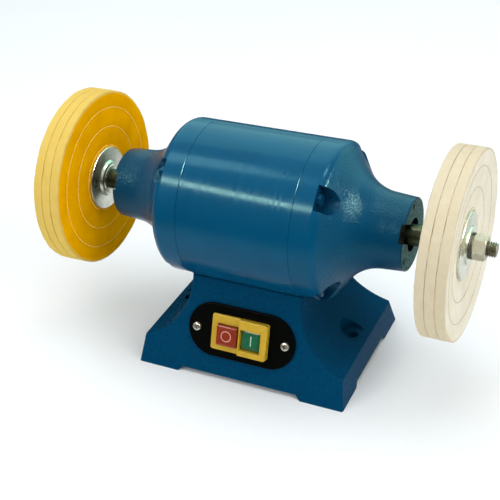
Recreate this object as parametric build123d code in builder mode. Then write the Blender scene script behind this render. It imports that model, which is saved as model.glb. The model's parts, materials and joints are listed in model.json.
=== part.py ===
from build123d import *
import os
from math import acos, atan2, cos, hypot, radians, sin, sqrt, tan

# Bench polishing machine: a twin-ended induction motor seated in a cast pedestal, with a sewn
# cotton buff clamped on each end of its spindle and a push-button switch on the sloping front.
# Millimetres. X runs along the spindle with the right-hand buff at +X, the front faces -Y, Z is up,
# and the origin is the middle of the pedestal's underside.

# Clearances
seat_clearance = 0.02
thread_clearance = 0.05
running_clearance = 0.06
slide_clearance = 0.3
panel_clearance = 0.5

# Motor housing
axis_height = 135.0
barrel_radius = 64.5
barrel_length = 96.0
barrel_bore = 53.0
seam_chamfer = 0.35
motor_foot_overhang = 0.4
motor_joint_height = 1.3
motor_joint_depth = 2.2

# End bells: a short rim, a flared shoulder and a long bearing neck
bell_rim = 19.7
bell_reach = 78.0
neck_radius = 29.3
neck_draft = 4.0
flare_angle = 56.0
shoulder_round = 8.0
flare_round = 36.0
neck_edge_round = 1.2
spigot_length = 4.0
spigot_wall = 5.0
bell_inner_depth = 10.0
nose_wall = 8.0
nose_bore = 13.5
nose_core_radius = 24.0
bearing_seat_depth = 16.0
guard_hole_radius = 2.1
guard_hole_depth = 10.0
guard_hole_circle_radius = 25.0
guard_hole_count = 3
face_notch_width = 15.0
face_notch_depth = 3.0
face_notch_angle = 30.0

# Through bolts that clamp the two bells to the barrel
through_bolt_radius = 2.5
through_bolt_circle_radius = 58.0
through_bolt_count = 4
through_bolt_flats = 8.0
through_bolt_head = 3.5
through_nut_height = 4.0
through_bolt_spare = 2.0
pocket_radius = 10.0
pocket_seat = 16.0

# Stator and rotor
core_length = 46.0
stator_bore = 31.0
stator_slots = 24
slot_inner_radius = 33.0
slot_outer_radius = 43.0
slot_width = 4.5
winding_reach = 15.0
winding_inner_radius = 34.0
winding_outer_radius = 46.5
winding_chamfer = 3.5
air_gap = 0.5
end_ring_length = 7.0
end_ring_inner_radius = 19.0
end_ring_inset = 1.0

# Ball bearings, 17 x 40 x 12
bearing_bore_radius = 8.5
bearing_radius = 20.0
bearing_width = 12.0
ball_radius = 3.375
ball_pitch_radius = 14.25
ball_count = 8
ball_running_clearance = 0.1
race_land = 2.35
cage_half_height = 1.0
cage_rim = 0.6
preload_height = 1.6
preload_thickness = 0.7
preload_ring_width = 4.0

# Leads that drop from the stator into the pedestal, in an insulating sleeve
lead_hole_radius = 4.5
lead_hole_offset = -18.0
lead_sleeve_wall = 1.2
lead_sleeve_spare = 2.0
lead_sleeve_drop = 10.0
lead_bend_radius = 7.5

# Spindle
spindle_core_radius = 11.0
spindle_core_spare = 12.0
spindle_shoulder_radius = 10.5
thread_radius = 6.0
thread_chamfer = 1.0
flange_gap = 17.3
thread_stickout = 7.6

# Buffs and the parts that clamp them
buff_radius = 75.0
buff_sections = 3
buff_hub_section = 6.0
buff_rim_section = 7.2
buff_rim_gap = 0.75
buff_rim_chamfer = 1.2
flange_radius = 27.0
flange_thickness = 2.9
flange_edge = 2.1
flange_hub_radius = 15.0
inner_hub_length = 3.5
outer_hub_length = 1.2
washer_radius = 10.4
washer_thickness = 2.2
washer_slit = 1.5
nut_flats = 18.0
nut_height = 10.0
nut_bevel = 1.2

# Pedestal
base_half_width = 93.5
base_half_depth = 68.5
base_top_half_width = 49.2
base_top_half_depth = 40.5
saddle_rim_land = 2.5
saddle_rim_chamfer = 0.5
saddle_wall = 8.0
base_wall = 6.0
end_wall_height = 24.5
end_wall_draft = 3.8
scoop_drop = 5.0
edge_round = 2.0
foot_length = 41.5
foot_depth = 36.5
foot_height = 4.5
relief_slope = 4.0
bench_bolt_radius = 4.5
bench_bolt_inset = 16.1
spotface_radius = 11.0
spotface_height = 26.0
bench_boss_wall = 3.0
core_pocket_height = 17.0
core_pocket_round = 4.0

# Bolts that hold the motor down in its saddle
mount_bolt_radius = 4.0
mount_bolt_spread = 32.0
mount_bolt_flats = 13.0
mount_bolt_head = 5.3
mount_bolt_tip_gap = 1.0
mount_washer_radius = 8.0
mount_washer_thickness = 1.6
mount_spotface_radius = 9.0

# Bottom cover and its screws
cover_thickness = 1.5
cover_corner_round = 6.0
post_radius = 6.0
post_inset = 5.5
post_height = 18.0
cover_screw_radius = 2.0
cover_screw_length = 12.0
cover_screw_head_radius = 3.8
cover_screw_head = 2.4

# Switch
switch_rise = 44.7
plate_length = 96.0
plate_width = 46.5
plate_thickness = 2.5
plate_chamfer = 0.6
plate_screw_spread = 39.8
plate_screw_radius = 2.0
plate_screw_length = 8.0
plate_screw_head_radius = 3.6
plate_screw_head = 2.4
frame_length = 51.0
frame_width = 31.0
frame_thickness = 2.5
frame_round = 2.0
collar_height = 3.5
button_length = 18.0
button_width = 17.5
button_spread = 10.75
button_drop = 1.5
button_bevel = 0.9
red_button_rise = 3.5
green_button_rise = 0.5
button_travel = 3.0
button_tail = 4.0
well_spare = 1.0
switch_body_length = 46.0
switch_body_width = 27.0
switch_body_depth = 28.0
blade_length = 8.0
blade_width = 6.3
blade_thickness = 0.8
blade_pitch_x = 12.0
blade_pitch_y = 14.0

# Capacitor, terminal block and cable gland inside and behind the pedestal
capacitor_radius = 15.0
capacitor_length = 60.0
capacitor_chamfer = 1.5
capacitor_offset = 20.0
clip_thickness = 1.2
clip_width = 12.0
clip_foot = 9.0
block_length = 40.0
block_width = 16.0
block_height = 13.0
block_offset = -20.0
block_poles = 4
block_well_radius = 2.5
block_well_depth = 8.0
rivet_radius = 1.6
rivet_head_radius = 3.0
rivet_head = 1.0
block_screw_radius = 1.5
block_screw_head_radius = 2.8
block_screw_head = 2.0
block_screw_tip = 1.5
gland_rise = 40.0
gland_thread_radius = 8.0
gland_flats = 22.0
gland_hex_height = 5.0
gland_cap_radius = 10.0
gland_cap_height = 10.0
gland_cap_round = 3.0
gland_bore = 4.0
gland_nut_height = 5.0
gland_thread_spare = 2.0

# Places along the spindle, measured out from the middle
seam = barrel_length / 2
shoulder_x = seam + bell_rim
neck_end = seam + bell_reach
bearing_stop = neck_end - nose_wall
pocket_seat_x = seam + pocket_seat
left_bearing_x = -(bearing_stop - bearing_width / 2)
right_bearing_x = bearing_stop - preload_height - bearing_width / 2
flange_stop = neck_end + flange_gap
inner_flange_face = flange_stop + inner_hub_length
buff_face = inner_flange_face + flange_thickness
outer_flange_face = buff_face + buff_sections * buff_hub_section
outer_hub_face = outer_flange_face + flange_thickness
washer_face = outer_hub_face + outer_hub_length
nut_face = washer_face + washer_thickness
spindle_end = nut_face + nut_height + thread_stickout

# Places on the pedestal
saddle_radius = barrel_radius + seat_clearance
base_height = axis_height - sqrt(saddle_radius**2 - (base_top_half_depth - saddle_rim_land)**2)
lean = atan2(base_half_depth - base_top_half_depth, base_height)
scoop_top = base_height - scoop_drop
end_wall_top = base_half_width - end_wall_draft
scoop_run = end_wall_top - base_top_half_width
scoop_fall = scoop_top - end_wall_height
scoop_radius = (scoop_run**2 + scoop_fall**2) / (2 * scoop_run)
scoop_centre_x = base_top_half_width + scoop_radius
bench_bolt_x = base_half_width - bench_bolt_inset
compartment_half_width = bench_bolt_x - spotface_radius - base_wall
roof_radius = saddle_radius + saddle_wall
cover_top = foot_height + cover_thickness
mount_seat = axis_height - sqrt(roof_radius**2 - mount_spotface_radius**2)
lead_x = core_length / 2 + panel_clearance + lead_hole_radius
clip_radius = capacitor_radius + clip_thickness
rivet_spread = clip_radius + clip_foot / 2
rivet_places = ((0, capacitor_offset - rivet_spread), (0, capacitor_offset + rivet_spread))
block_pitch = block_length / block_poles
block_screw_places = ((-block_pitch, block_offset), (block_pitch, block_offset))


def inner_half_depth(height):
    """Half the clear depth of the wiring compartment at a height above the bench."""
    return base_half_depth - tan(lean) * height - base_wall / cos(lean)


cover_half_length = compartment_half_width - panel_clearance
cover_half_depth = inner_half_depth(cover_top) - panel_clearance
post_x = cover_half_length - post_inset
post_y = cover_half_depth - post_inset

# Reference planes
spindle_axis = Axis((0, 0, axis_height), (1, 0, 0))
lengthwise = Plane((0, 0, axis_height), x_dir=(1, 0, 0), z_dir=(0, -1, 0))
front_normal = (0, -cos(lean), sin(lean))
back_normal = (0, cos(lean), sin(lean))
switch_centre = (0, switch_rise * sin(lean) - base_half_depth, switch_rise * cos(lean))
gland_centre = (0, base_half_depth - gland_rise * sin(lean), gland_rise * cos(lean))
front_face = Plane(switch_centre, x_dir=(1, 0, 0), z_dir=front_normal)
back_face = Plane(gland_centre, x_dir=(-1, 0, 0), z_dir=back_normal)


def across(x):
    """The plane square to the spindle at x, with its origin on the spindle line."""
    return Plane((x, 0, axis_height), x_dir=(0, 1, 0), z_dir=(1, 0, 0))


def save(piece, name):
    """Labels a finished piece and writes it as a STEP file."""
    piece.part.label = name
    export_step(piece.part, f"parts/{name}.step")


def save_pair(right_piece, name):
    """Writes a right-hand piece and its mirror image for the left-hand end."""
    save(right_piece, f"right_{name}")
    with BuildPart() as left_piece:
        add(mirror(right_piece.part, about=Plane.YZ, mode=Mode.PRIVATE))
    save(left_piece, f"left_{name}")


os.makedirs("parts", exist_ok=True)

# Wiring compartment inside the pedestal, with four corner posts left standing for the cover screws
inner_scoop_radius = scoop_radius + base_wall
compartment_shoulder = scoop_top - sqrt(
    inner_scoop_radius**2 - (scoop_centre_x - compartment_half_width)**2
)
with BuildPart() as compartment:
    with BuildSketch(Plane.XZ):
        with BuildLine():
            floor = Line((0, 0), (compartment_half_width, 0))
            side = Line(floor @ 1, (compartment_half_width, compartment_shoulder))
            curve = RadiusArc(side @ 1, (base_top_half_width - base_wall, scoop_top), inner_scoop_radius)
            Line(curve @ 1, (0, scoop_top))
            mirror(about=Plane.YZ)
        make_face()
    extrude(amount=base_half_depth, both=True)
    with BuildSketch(Plane.YZ):
        with BuildLine():
            Polyline(
                (-inner_half_depth(0), 0),
                (inner_half_depth(0), 0),
                (inner_half_depth(scoop_top), scoop_top),
                (-inner_half_depth(scoop_top), scoop_top),
                close=True,
            )
        make_face()
    extrude(amount=base_half_width, both=True, mode=Mode.INTERSECT)
    with BuildSketch(across(-base_half_width)):
        Circle(roof_radius)
    extrude(amount=2 * base_half_width, mode=Mode.SUBTRACT)
    with BuildSketch(Plane.XY.offset(cover_top)):
        with GridLocations(2 * post_x, 2 * post_y, 2, 2):
            Circle(post_radius)
    extrude(amount=post_height, mode=Mode.SUBTRACT)

# Pedestal casting
with BuildPart() as base_casting:
    with BuildSketch(Plane.XZ):
        with BuildLine():
            underside = Line((0, 0), (base_half_width, 0))
            end_wall = Line(underside @ 1, (end_wall_top, end_wall_height))
            scoop = RadiusArc(end_wall @ 1, (base_top_half_width, scoop_top), scoop_radius)
            upright = Line(scoop @ 1, (base_top_half_width, base_height))
            Line(upright @ 1, (0, base_height))
            mirror(about=Plane.YZ)
        make_face()
    extrude(amount=base_half_depth, both=True)
    with BuildSketch(Plane.YZ):
        with BuildLine():
            Polyline(
                (-base_half_depth, 0),
                (base_half_depth, 0),
                (base_top_half_depth, base_height),
                (-base_top_half_depth, base_height),
                close=True,
            )
        make_face()
    extrude(amount=base_half_width, both=True, mode=Mode.INTERSECT)
    outer_edges = base_casting.edges().filter_by(
        lambda edge: edge.center().Z > edge_round
        and edge.center().Z < base_height - edge_round
        and abs(edge.center().X) > base_top_half_width
    )
    fillet(outer_edges, edge_round)
    with BuildSketch(across(-base_half_width)):
        Circle(saddle_radius)
    extrude(amount=2 * base_half_width, mode=Mode.SUBTRACT)
    rim_edges = base_casting.faces().sort_by(Axis.Z)[-2:].edges().filter_by(Axis.X).filter_by(
        lambda edge: abs(edge.center().Y) > base_top_half_depth - saddle_rim_land / 2
    )
    chamfer(rim_edges, saddle_rim_chamfer)
    add(compartment.part, mode=Mode.SUBTRACT)
    # Relief between the four corner feet
    relief_half_width = base_half_width - foot_length
    relief_half_depth = base_half_depth - foot_depth
    for plane, half_gap, reach in (
        (Plane.XZ, relief_half_width, base_half_depth),
        (Plane.YZ, relief_half_depth, base_half_width),
    ):
        with BuildSketch(plane):
            with BuildLine():
                Polyline(
                    (-half_gap - relief_slope, 0),
                    (half_gap + relief_slope, 0),
                    (half_gap, foot_height),
                    (-half_gap, foot_height),
                    close=True,
                )
            make_face()
        extrude(amount=reach, both=True, mode=Mode.SUBTRACT)
    # Cored pockets under the ends, each side of the bench-bolt bosses
    boss_radius = spotface_radius + bench_boss_wall
    pocket_x0 = bench_bolt_x - spotface_radius
    pocket_x1 = end_wall_top - base_wall
    pocket_y1 = inner_half_depth(core_pocket_height)
    with BuildSketch(Plane.XY):
        with GridLocations(pocket_x0 + pocket_x1, boss_radius + pocket_y1, 2, 2):
            RectangleRounded(pocket_x1 - pocket_x0, pocket_y1 - boss_radius, core_pocket_round)
    extrude(amount=core_pocket_height, mode=Mode.SUBTRACT)
    # Bench-bolt holes with their spot-faced pockets
    with Locations((bench_bolt_x, 0, scoop_top), (-bench_bolt_x, 0, scoop_top)):
        CounterBoreHole(bench_bolt_radius, spotface_radius, scoop_top - spotface_height)
    # Motor bolts, motor leads, cover screws, switch and gland
    with BuildSketch(Plane.XY.offset(cover_top)):
        with GridLocations(2 * mount_bolt_spread, 0, 2, 1):
            Circle(mount_spotface_radius)
    extrude(amount=mount_seat - cover_top, mode=Mode.SUBTRACT)
    with BuildSketch(Plane.XY.offset(mount_seat - saddle_wall)):
        with GridLocations(2 * mount_bolt_spread, 0, 2, 1):
            Circle(mount_bolt_radius + thread_clearance)
        with Locations((lead_x, lead_hole_offset)):
            Circle(lead_hole_radius)
    extrude(amount=base_height - mount_seat + saddle_wall, mode=Mode.SUBTRACT)
    with BuildSketch(Plane.XY.offset(cover_top)):
        with GridLocations(2 * post_x, 2 * post_y, 2, 2):
            Circle(cover_screw_radius + thread_clearance)
    extrude(amount=cover_screw_length, mode=Mode.SUBTRACT)
    with BuildSketch(front_face):
        Rectangle(switch_body_length + 2 * panel_clearance, switch_body_width + 2 * panel_clearance)
        with GridLocations(2 * plate_screw_spread, 0, 2, 1):
            Circle(plate_screw_radius + thread_clearance)
    extrude(amount=-2 * base_wall, mode=Mode.SUBTRACT)
    with BuildSketch(back_face):
        Circle(gland_thread_radius + thread_clearance)
    extrude(amount=-2 * base_wall, mode=Mode.SUBTRACT)
save(base_casting, "base_casting")

# Bottom cover: a flat sheet that closes the wiring compartment
with BuildPart() as base_cover:
    with BuildSketch(Plane.XY.offset(foot_height)):
        RectangleRounded(2 * cover_half_length, 2 * cover_half_depth, cover_corner_round)
        with GridLocations(2 * post_x, 2 * post_y, 2, 2):
            Circle(cover_screw_radius + thread_clearance, mode=Mode.SUBTRACT)
        with Locations(*rivet_places):
            Circle(rivet_radius + seat_clearance, mode=Mode.SUBTRACT)
        with Locations(*block_screw_places):
            Circle(block_screw_radius + thread_clearance, mode=Mode.SUBTRACT)
    extrude(amount=cover_thickness)
save(base_cover, "base_cover")

with BuildPart() as base_cover_screws:
    with BuildSketch(Plane.XY.offset(foot_height)):
        with GridLocations(2 * post_x, 2 * post_y, 2, 2):
            Circle(cover_screw_radius)
    extrude(amount=cover_screw_length)
    with BuildSketch(Plane.XY.offset(foot_height - cover_screw_head)):
        with GridLocations(2 * post_x, 2 * post_y, 2, 2):
            Circle(cover_screw_head_radius)
    extrude(amount=cover_screw_head)
save(base_cover_screws, "base_cover_screws")

# Motor barrel: a round shell with two tangent feet that land on the saddle's rim, a step in from its edge
foot_half_depth = base_top_half_depth + motor_foot_overhang
foot_drop = axis_height - base_height
joint_half_depth = foot_half_depth - motor_joint_depth
joint_top = motor_joint_height - foot_drop
foot_angle = atan2(-joint_top, foot_half_depth) - acos(barrel_radius / hypot(joint_top, foot_half_depth))
tangent_y = barrel_radius * cos(foot_angle)
tangent_z = -barrel_radius * sin(foot_angle)
with BuildPart() as motor_barrel:
    with BuildSketch(across(-seam)):
        Circle(barrel_radius)
        with BuildLine():
            Polyline(
                (-tangent_y, tangent_z),
                (-foot_half_depth, joint_top),
                (-joint_half_depth, joint_top),
                (-joint_half_depth, -foot_drop),
                (joint_half_depth, -foot_drop),
                (joint_half_depth, joint_top),
                (foot_half_depth, joint_top),
                (tangent_y, tangent_z),
                close=True,
            )
        make_face()
        Circle(barrel_bore, mode=Mode.SUBTRACT)
        with PolarLocations(through_bolt_circle_radius, through_bolt_count, 180 / through_bolt_count):
            Circle(through_bolt_radius + running_clearance, mode=Mode.SUBTRACT)
    extrude(amount=barrel_length)
    rim_edges = motor_barrel.edges().filter_by(GeomType.CIRCLE).filter_by(
        lambda edge: edge.radius > through_bolt_circle_radius
    )
    chamfer(rim_edges, seam_chamfer)
    with BuildSketch(Plane.XY):
        with GridLocations(2 * mount_bolt_spread, 0, 2, 1):
            Circle(mount_bolt_radius + thread_clearance)
        with Locations((lead_x, lead_hole_offset)):
            Circle(lead_hole_radius)
    extrude(amount=axis_height, mode=Mode.SUBTRACT)
save(motor_barrel, "motor_barrel")

# Hold-down bolts, from inside the pedestal up into the barrel
mount_head_face = mount_seat - mount_washer_thickness
mount_bolt_tip = axis_height - barrel_bore - mount_bolt_tip_gap
with BuildPart() as mount_washers:
    with BuildSketch(Plane.XY.offset(mount_head_face)):
        with GridLocations(2 * mount_bolt_spread, 0, 2, 1):
            Circle(mount_washer_radius)
            Circle(mount_bolt_radius + thread_clearance, mode=Mode.SUBTRACT)
    extrude(amount=mount_washer_thickness)
save(mount_washers, "mount_washers")

with BuildPart() as mount_bolts:
    with BuildSketch(Plane.XY.offset(mount_head_face - mount_bolt_head)):
        with GridLocations(2 * mount_bolt_spread, 0, 2, 1):
            RegularPolygon(mount_bolt_flats / 2, 6, major_radius=False)
    extrude(amount=mount_bolt_head)
    with BuildSketch(Plane.XY.offset(mount_head_face)):
        with GridLocations(2 * mount_bolt_spread, 0, 2, 1):
            Circle(mount_bolt_radius)
    extrude(amount=mount_bolt_tip - mount_head_face)
save(mount_bolts, "mount_bolts")

# End bell: one flared shell, with its spigot, bearing seat, bolt pockets and machined nose
flare_slope = tan(radians(flare_angle))
draft_slope = tan(radians(neck_draft))
flare_x = (barrel_radius + flare_slope * shoulder_x - neck_radius - draft_slope * neck_end) / (
    flare_slope - draft_slope
)
flare_radius = neck_radius + draft_slope * (neck_end - flare_x)
spigot_radius = barrel_bore - seat_clearance
spigot_bore = spigot_radius - spigot_wall
inner_flare_x = seam + bell_inner_depth
inner_flare_end = inner_flare_x + (spigot_bore - nose_core_radius) / flare_slope
seat_inner_end = bearing_stop - bearing_seat_depth
with BuildPart() as right_end_bell:
    with BuildSketch(lengthwise):
        with BuildLine():
            outside = FilletPolyline(
                (seam + seam_chamfer, barrel_radius),
                (shoulder_x, barrel_radius),
                (flare_x, flare_radius),
                (neck_end, neck_radius),
                (neck_end, nose_bore),
                radius=[shoulder_round, flare_round, neck_edge_round],
            )
            Polyline(
                outside @ 1,
                (bearing_stop, nose_bore),
                (bearing_stop, bearing_radius),
                (seat_inner_end, bearing_radius),
                (seat_inner_end, nose_core_radius),
                (inner_flare_end, nose_core_radius),
                (inner_flare_x, spigot_bore),
                (seam - spigot_length, spigot_bore),
                (seam - spigot_length, spigot_radius),
                (seam, spigot_radius),
                (seam, barrel_radius - seam_chamfer),
                outside @ 0,
            )
        make_face()
    revolve(axis=spindle_axis)
    with BuildSketch(across(pocket_seat_x)):
        with PolarLocations(through_bolt_circle_radius, through_bolt_count, 180 / through_bolt_count):
            Circle(pocket_radius)
            Rectangle(2 * pocket_radius, 2 * pocket_radius, align=(Align.MIN, Align.CENTER))
    extrude(amount=bell_reach, mode=Mode.SUBTRACT)
    with BuildSketch(across(seam)):
        with PolarLocations(through_bolt_circle_radius, through_bolt_count, 180 / through_bolt_count):
            Circle(through_bolt_radius + running_clearance)
    extrude(amount=pocket_seat, mode=Mode.SUBTRACT)
    with BuildSketch(across(neck_end)):
        with PolarLocations(guard_hole_circle_radius, guard_hole_count, 90):
            Circle(guard_hole_radius)
    extrude(amount=-guard_hole_depth, mode=Mode.SUBTRACT)
    with BuildSketch(across(neck_end)):
        with PolarLocations(0, 1, 180 - face_notch_angle):
            Rectangle(2 * neck_radius, face_notch_width, align=(Align.MIN, Align.CENTER))
    extrude(amount=-face_notch_depth, mode=Mode.SUBTRACT)
save_pair(right_end_bell, "end_bell")

# Through bolts with their heads in the right-hand pockets and nuts in the left-hand ones
with BuildPart() as through_bolts:
    with BuildSketch(across(pocket_seat_x)):
        with PolarLocations(through_bolt_circle_radius, through_bolt_count, 180 / through_bolt_count):
            RegularPolygon(through_bolt_flats / 2, 6, major_radius=False)
    extrude(amount=through_bolt_head)
    with BuildSketch(across(pocket_seat_x)):
        with PolarLocations(through_bolt_circle_radius, through_bolt_count, 180 / through_bolt_count):
            Circle(through_bolt_radius)
    extrude(amount=-(2 * pocket_seat_x + through_nut_height + through_bolt_spare))
save(through_bolts, "through_bolts")

with BuildPart() as through_bolt_nuts:
    with BuildSketch(across(-pocket_seat_x)):
        with PolarLocations(through_bolt_circle_radius, through_bolt_count, 180 / through_bolt_count):
            RegularPolygon(through_bolt_flats / 2, 6, major_radius=False)
            Circle(through_bolt_radius + thread_clearance, mode=Mode.SUBTRACT)
    extrude(amount=-through_nut_height)
save(through_bolt_nuts, "through_bolt_nuts")

# Stator: a slotted lamination pack with a bundle of end turns at each face
with BuildPart() as stator_core:
    with BuildSketch(across(-core_length / 2)):
        Circle(barrel_bore - seat_clearance)
        Circle(stator_bore, mode=Mode.SUBTRACT)
        with PolarLocations((slot_inner_radius + slot_outer_radius) / 2, stator_slots):
            SlotOverall(slot_outer_radius - slot_inner_radius, slot_width, mode=Mode.SUBTRACT)
    extrude(amount=core_length)
save(stator_core, "stator_core")

winding_mid = (winding_inner_radius + winding_outer_radius) / 2
with BuildPart() as stator_windings:
    with BuildSketch(lengthwise) as stator_windings_profile:
        with Locations(
            (core_length / 2 + winding_reach / 2, winding_mid),
            (-core_length / 2 - winding_reach / 2, winding_mid),
        ):
            Rectangle(winding_reach, winding_outer_radius - winding_inner_radius)
        chamfer(stator_windings_profile.vertices(), winding_chamfer)
    revolve(axis=spindle_axis)
save(stator_windings, "stator_windings")

# Sleeve through the saddle wall, and the bundle of leads that it guides down to the terminal block
sleeve_radius = lead_hole_radius - seat_clearance
sleeve_bore = sleeve_radius - lead_sleeve_wall
sleeve_top = axis_height - sqrt(barrel_bore**2 - lead_hole_offset**2) + lead_sleeve_spare
sleeve_end = axis_height - sqrt(roof_radius**2 - lead_hole_offset**2) - lead_sleeve_drop
with BuildPart() as lead_sleeve:
    with BuildSketch(Plane.XY.offset(sleeve_end)):
        with Locations((lead_x, lead_hole_offset)):
            Circle(sleeve_radius)
            Circle(sleeve_bore, mode=Mode.SUBTRACT)
    extrude(amount=sleeve_top - sleeve_end)
save(lead_sleeve, "lead_sleeve")

bundle_radius = sleeve_bore - slide_clearance
bundle_side = abs(lead_hole_offset) - bundle_radius
bundle_top = axis_height - sqrt(winding_outer_radius**2 - bundle_side**2) - slide_clearance
bundle_height = cover_top + block_height / 2
with BuildPart() as motor_leads:
    with BuildLine() as lead_route:
        FilletPolyline(
            (lead_x, lead_hole_offset, bundle_top),
            (lead_x, lead_hole_offset, bundle_height),
            (block_length / 2, lead_hole_offset, bundle_height),
            radius=lead_bend_radius,
        )
    with BuildSketch(Plane((lead_x, lead_hole_offset, bundle_top), z_dir=(0, 0, -1))):
        Circle(bundle_radius)
    sweep(path=lead_route.wire())
save(motor_leads, "motor_leads")

# Spindle: stepped from the rotor seat out to the threaded ends
left_stop = left_bearing_x + bearing_width / 2
right_stop = right_bearing_x - bearing_width / 2
core_seat = core_length / 2 + spindle_core_spare
with BuildPart() as spindle:
    with BuildSketch(lengthwise):
        with BuildLine():
            Polyline(
                (-spindle_end, 0),
                (-spindle_end, thread_radius - thread_chamfer),
                (-spindle_end + thread_chamfer, thread_radius),
                (-flange_stop, thread_radius),
                (-flange_stop, bearing_bore_radius),
                (left_stop, bearing_bore_radius),
                (left_stop, spindle_shoulder_radius),
                (-core_seat, spindle_shoulder_radius),
                (-core_seat, spindle_core_radius),
                (core_seat, spindle_core_radius),
                (core_seat, spindle_shoulder_radius),
                (right_stop, spindle_shoulder_radius),
                (right_stop, bearing_bore_radius),
                (flange_stop, bearing_bore_radius),
                (flange_stop, thread_radius),
                (spindle_end - thread_chamfer, thread_radius),
                (spindle_end, thread_radius - thread_chamfer),
                (spindle_end, 0),
                close=True,
            )
        make_face()
    revolve(axis=spindle_axis)
save(spindle, "spindle")

rotor_radius = stator_bore - air_gap
with BuildPart() as rotor_core:
    with BuildSketch(across(-core_length / 2)):
        Circle(rotor_radius)
        Circle(spindle_core_radius + seat_clearance, mode=Mode.SUBTRACT)
    extrude(amount=core_length)
save(rotor_core, "rotor_core")

with BuildPart() as rotor_end_rings:
    for start, length in ((core_length / 2, end_ring_length), (-core_length / 2, -end_ring_length)):
        with BuildSketch(across(start)):
            Circle(rotor_radius - end_ring_inset)
            Circle(end_ring_inner_radius, mode=Mode.SUBTRACT)
        extrude(amount=length)
save(rotor_end_rings, "rotor_end_rings")


def make_bearing(side, middle):
    """One ball bearing: outer ring, inner ring, balls and cage, centred at middle on the spindle line."""
    groove_radius = ball_radius + ball_running_clearance
    outer_land = ball_pitch_radius + race_land
    inner_land = ball_pitch_radius - race_land
    outer_rim = bearing_radius - seat_clearance
    inner_rim = bearing_bore_radius + seat_clearance
    for name, low, high in (("outer_ring", outer_land, outer_rim), ("inner_ring", inner_rim, inner_land)):
        with BuildPart() as race:
            with BuildSketch(lengthwise):
                with Locations((middle, (low + high) / 2)):
                    Rectangle(bearing_width, high - low)
                with Locations((middle, ball_pitch_radius)):
                    Circle(groove_radius, mode=Mode.SUBTRACT)
            revolve(axis=spindle_axis)
        save(race, f"{side}_bearing_{name}")
    with BuildPart(across(middle)) as balls:
        with PolarLocations(ball_pitch_radius, ball_count):
            Sphere(ball_radius)
    save(balls, f"{side}_bearing_balls")
    cage_width = 2 * (groove_radius + cage_rim)
    with BuildPart(across(middle)) as cage:
        Cylinder(ball_pitch_radius + cage_half_height, cage_width)
        Cylinder(ball_pitch_radius - cage_half_height, cage_width, mode=Mode.SUBTRACT)
        with PolarLocations(ball_pitch_radius, ball_count):
            Cylinder(
                ball_radius + running_clearance,
                4 * cage_half_height,
                rotation=(0, 90, 0),
                mode=Mode.SUBTRACT,
            )
    save(cage, f"{side}_bearing_cage")


make_bearing("left", left_bearing_x)
make_bearing("right", right_bearing_x)

# Coned preload washer between the right-hand bearing and its shoulder
with BuildPart() as preload_washer:
    with BuildSketch(lengthwise):
        with BuildLine():
            inner_edge = bearing_radius - panel_clearance - preload_ring_width
            outer_edge = bearing_radius - panel_clearance
            Polyline(
                (bearing_stop - preload_height, outer_edge),
                (bearing_stop - preload_height + preload_thickness, outer_edge),
                (bearing_stop, inner_edge),
                (bearing_stop - preload_thickness, inner_edge),
                close=True,
            )
        make_face()
    revolve(axis=spindle_axis)
save(preload_washer, "preload_washer")


def make_flange(name, clamp_face, hub_length, outward):
    """A turned clamping flange: a tapered disc against the buff and a hub on its other side."""
    hub_root = clamp_face + outward * flange_thickness
    with BuildPart() as flange:
        with BuildSketch(lengthwise):
            with BuildLine():
                Polyline(
                    (clamp_face, thread_radius + thread_clearance),
                    (clamp_face, flange_radius),
                    (clamp_face + outward * flange_edge, flange_radius),
                    (hub_root, flange_hub_radius),
                    (hub_root + outward * hub_length, flange_hub_radius),
                    (hub_root + outward * hub_length, thread_radius + thread_clearance),
                    close=True,
                )
            make_face()
        revolve(axis=spindle_axis)
    save_pair(flange, name)


make_flange("inner_flange", buff_face, inner_hub_length, -1)
make_flange("outer_flange", outer_flange_face, outer_hub_length, 1)

# Buffs: sewn cloth sections, tight together at the hub and fanning a little apart at the rim
for section in range(buff_sections):
    hub_start = buff_face + section * buff_hub_section
    hub_finish = hub_start + buff_hub_section
    rim_start = buff_face + section * (buff_rim_section + buff_rim_gap)
    rim_finish = rim_start + buff_rim_section
    with BuildPart() as buff_section:
        with BuildSketch(lengthwise):
            with BuildLine():
                Polyline(
                    (hub_start, thread_radius + thread_clearance),
                    (hub_start, flange_radius),
                    (rim_start, buff_radius - buff_rim_chamfer),
                    (rim_start + buff_rim_chamfer, buff_radius),
                    (rim_finish - buff_rim_chamfer, buff_radius),
                    (rim_finish, buff_radius - buff_rim_chamfer),
                    (hub_finish, flange_radius),
                    (hub_finish, thread_radius + thread_clearance),
                    close=True,
                )
            make_face()
        revolve(axis=spindle_axis)
    save_pair(buff_section, f"buff_section_{section + 1}")

# Split spring washer and nut on each thread
with BuildPart() as spring_washer:
    with BuildSketch(across(washer_face)):
        Circle(washer_radius)
        Circle(thread_radius + thread_clearance, mode=Mode.SUBTRACT)
        Rectangle(washer_slit, 2 * washer_radius, align=(Align.CENTER, Align.MIN), mode=Mode.SUBTRACT)
    extrude(amount=washer_thickness)
save_pair(spring_washer, "spring_washer")

nut_corner = nut_flats / 2 / cos(radians(30))
with BuildPart() as spindle_nut:
    with BuildSketch(across(nut_face)):
        RegularPolygon(nut_flats / 2, 6, major_radius=False)
        Circle(thread_radius + thread_clearance, mode=Mode.SUBTRACT)
    extrude(amount=nut_height)
    with BuildSketch(lengthwise):
        with BuildLine():
            Polyline(
                (nut_face, 0),
                (nut_face, nut_flats / 2),
                (nut_face + nut_bevel, nut_corner),
                (nut_face + nut_height - nut_bevel, nut_corner),
                (nut_face + nut_height, nut_flats / 2),
                (nut_face + nut_height, 0),
                close=True,
            )
        make_face()
    revolve(axis=spindle_axis, mode=Mode.INTERSECT)
save_pair(spindle_nut, "spindle_nut")

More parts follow.
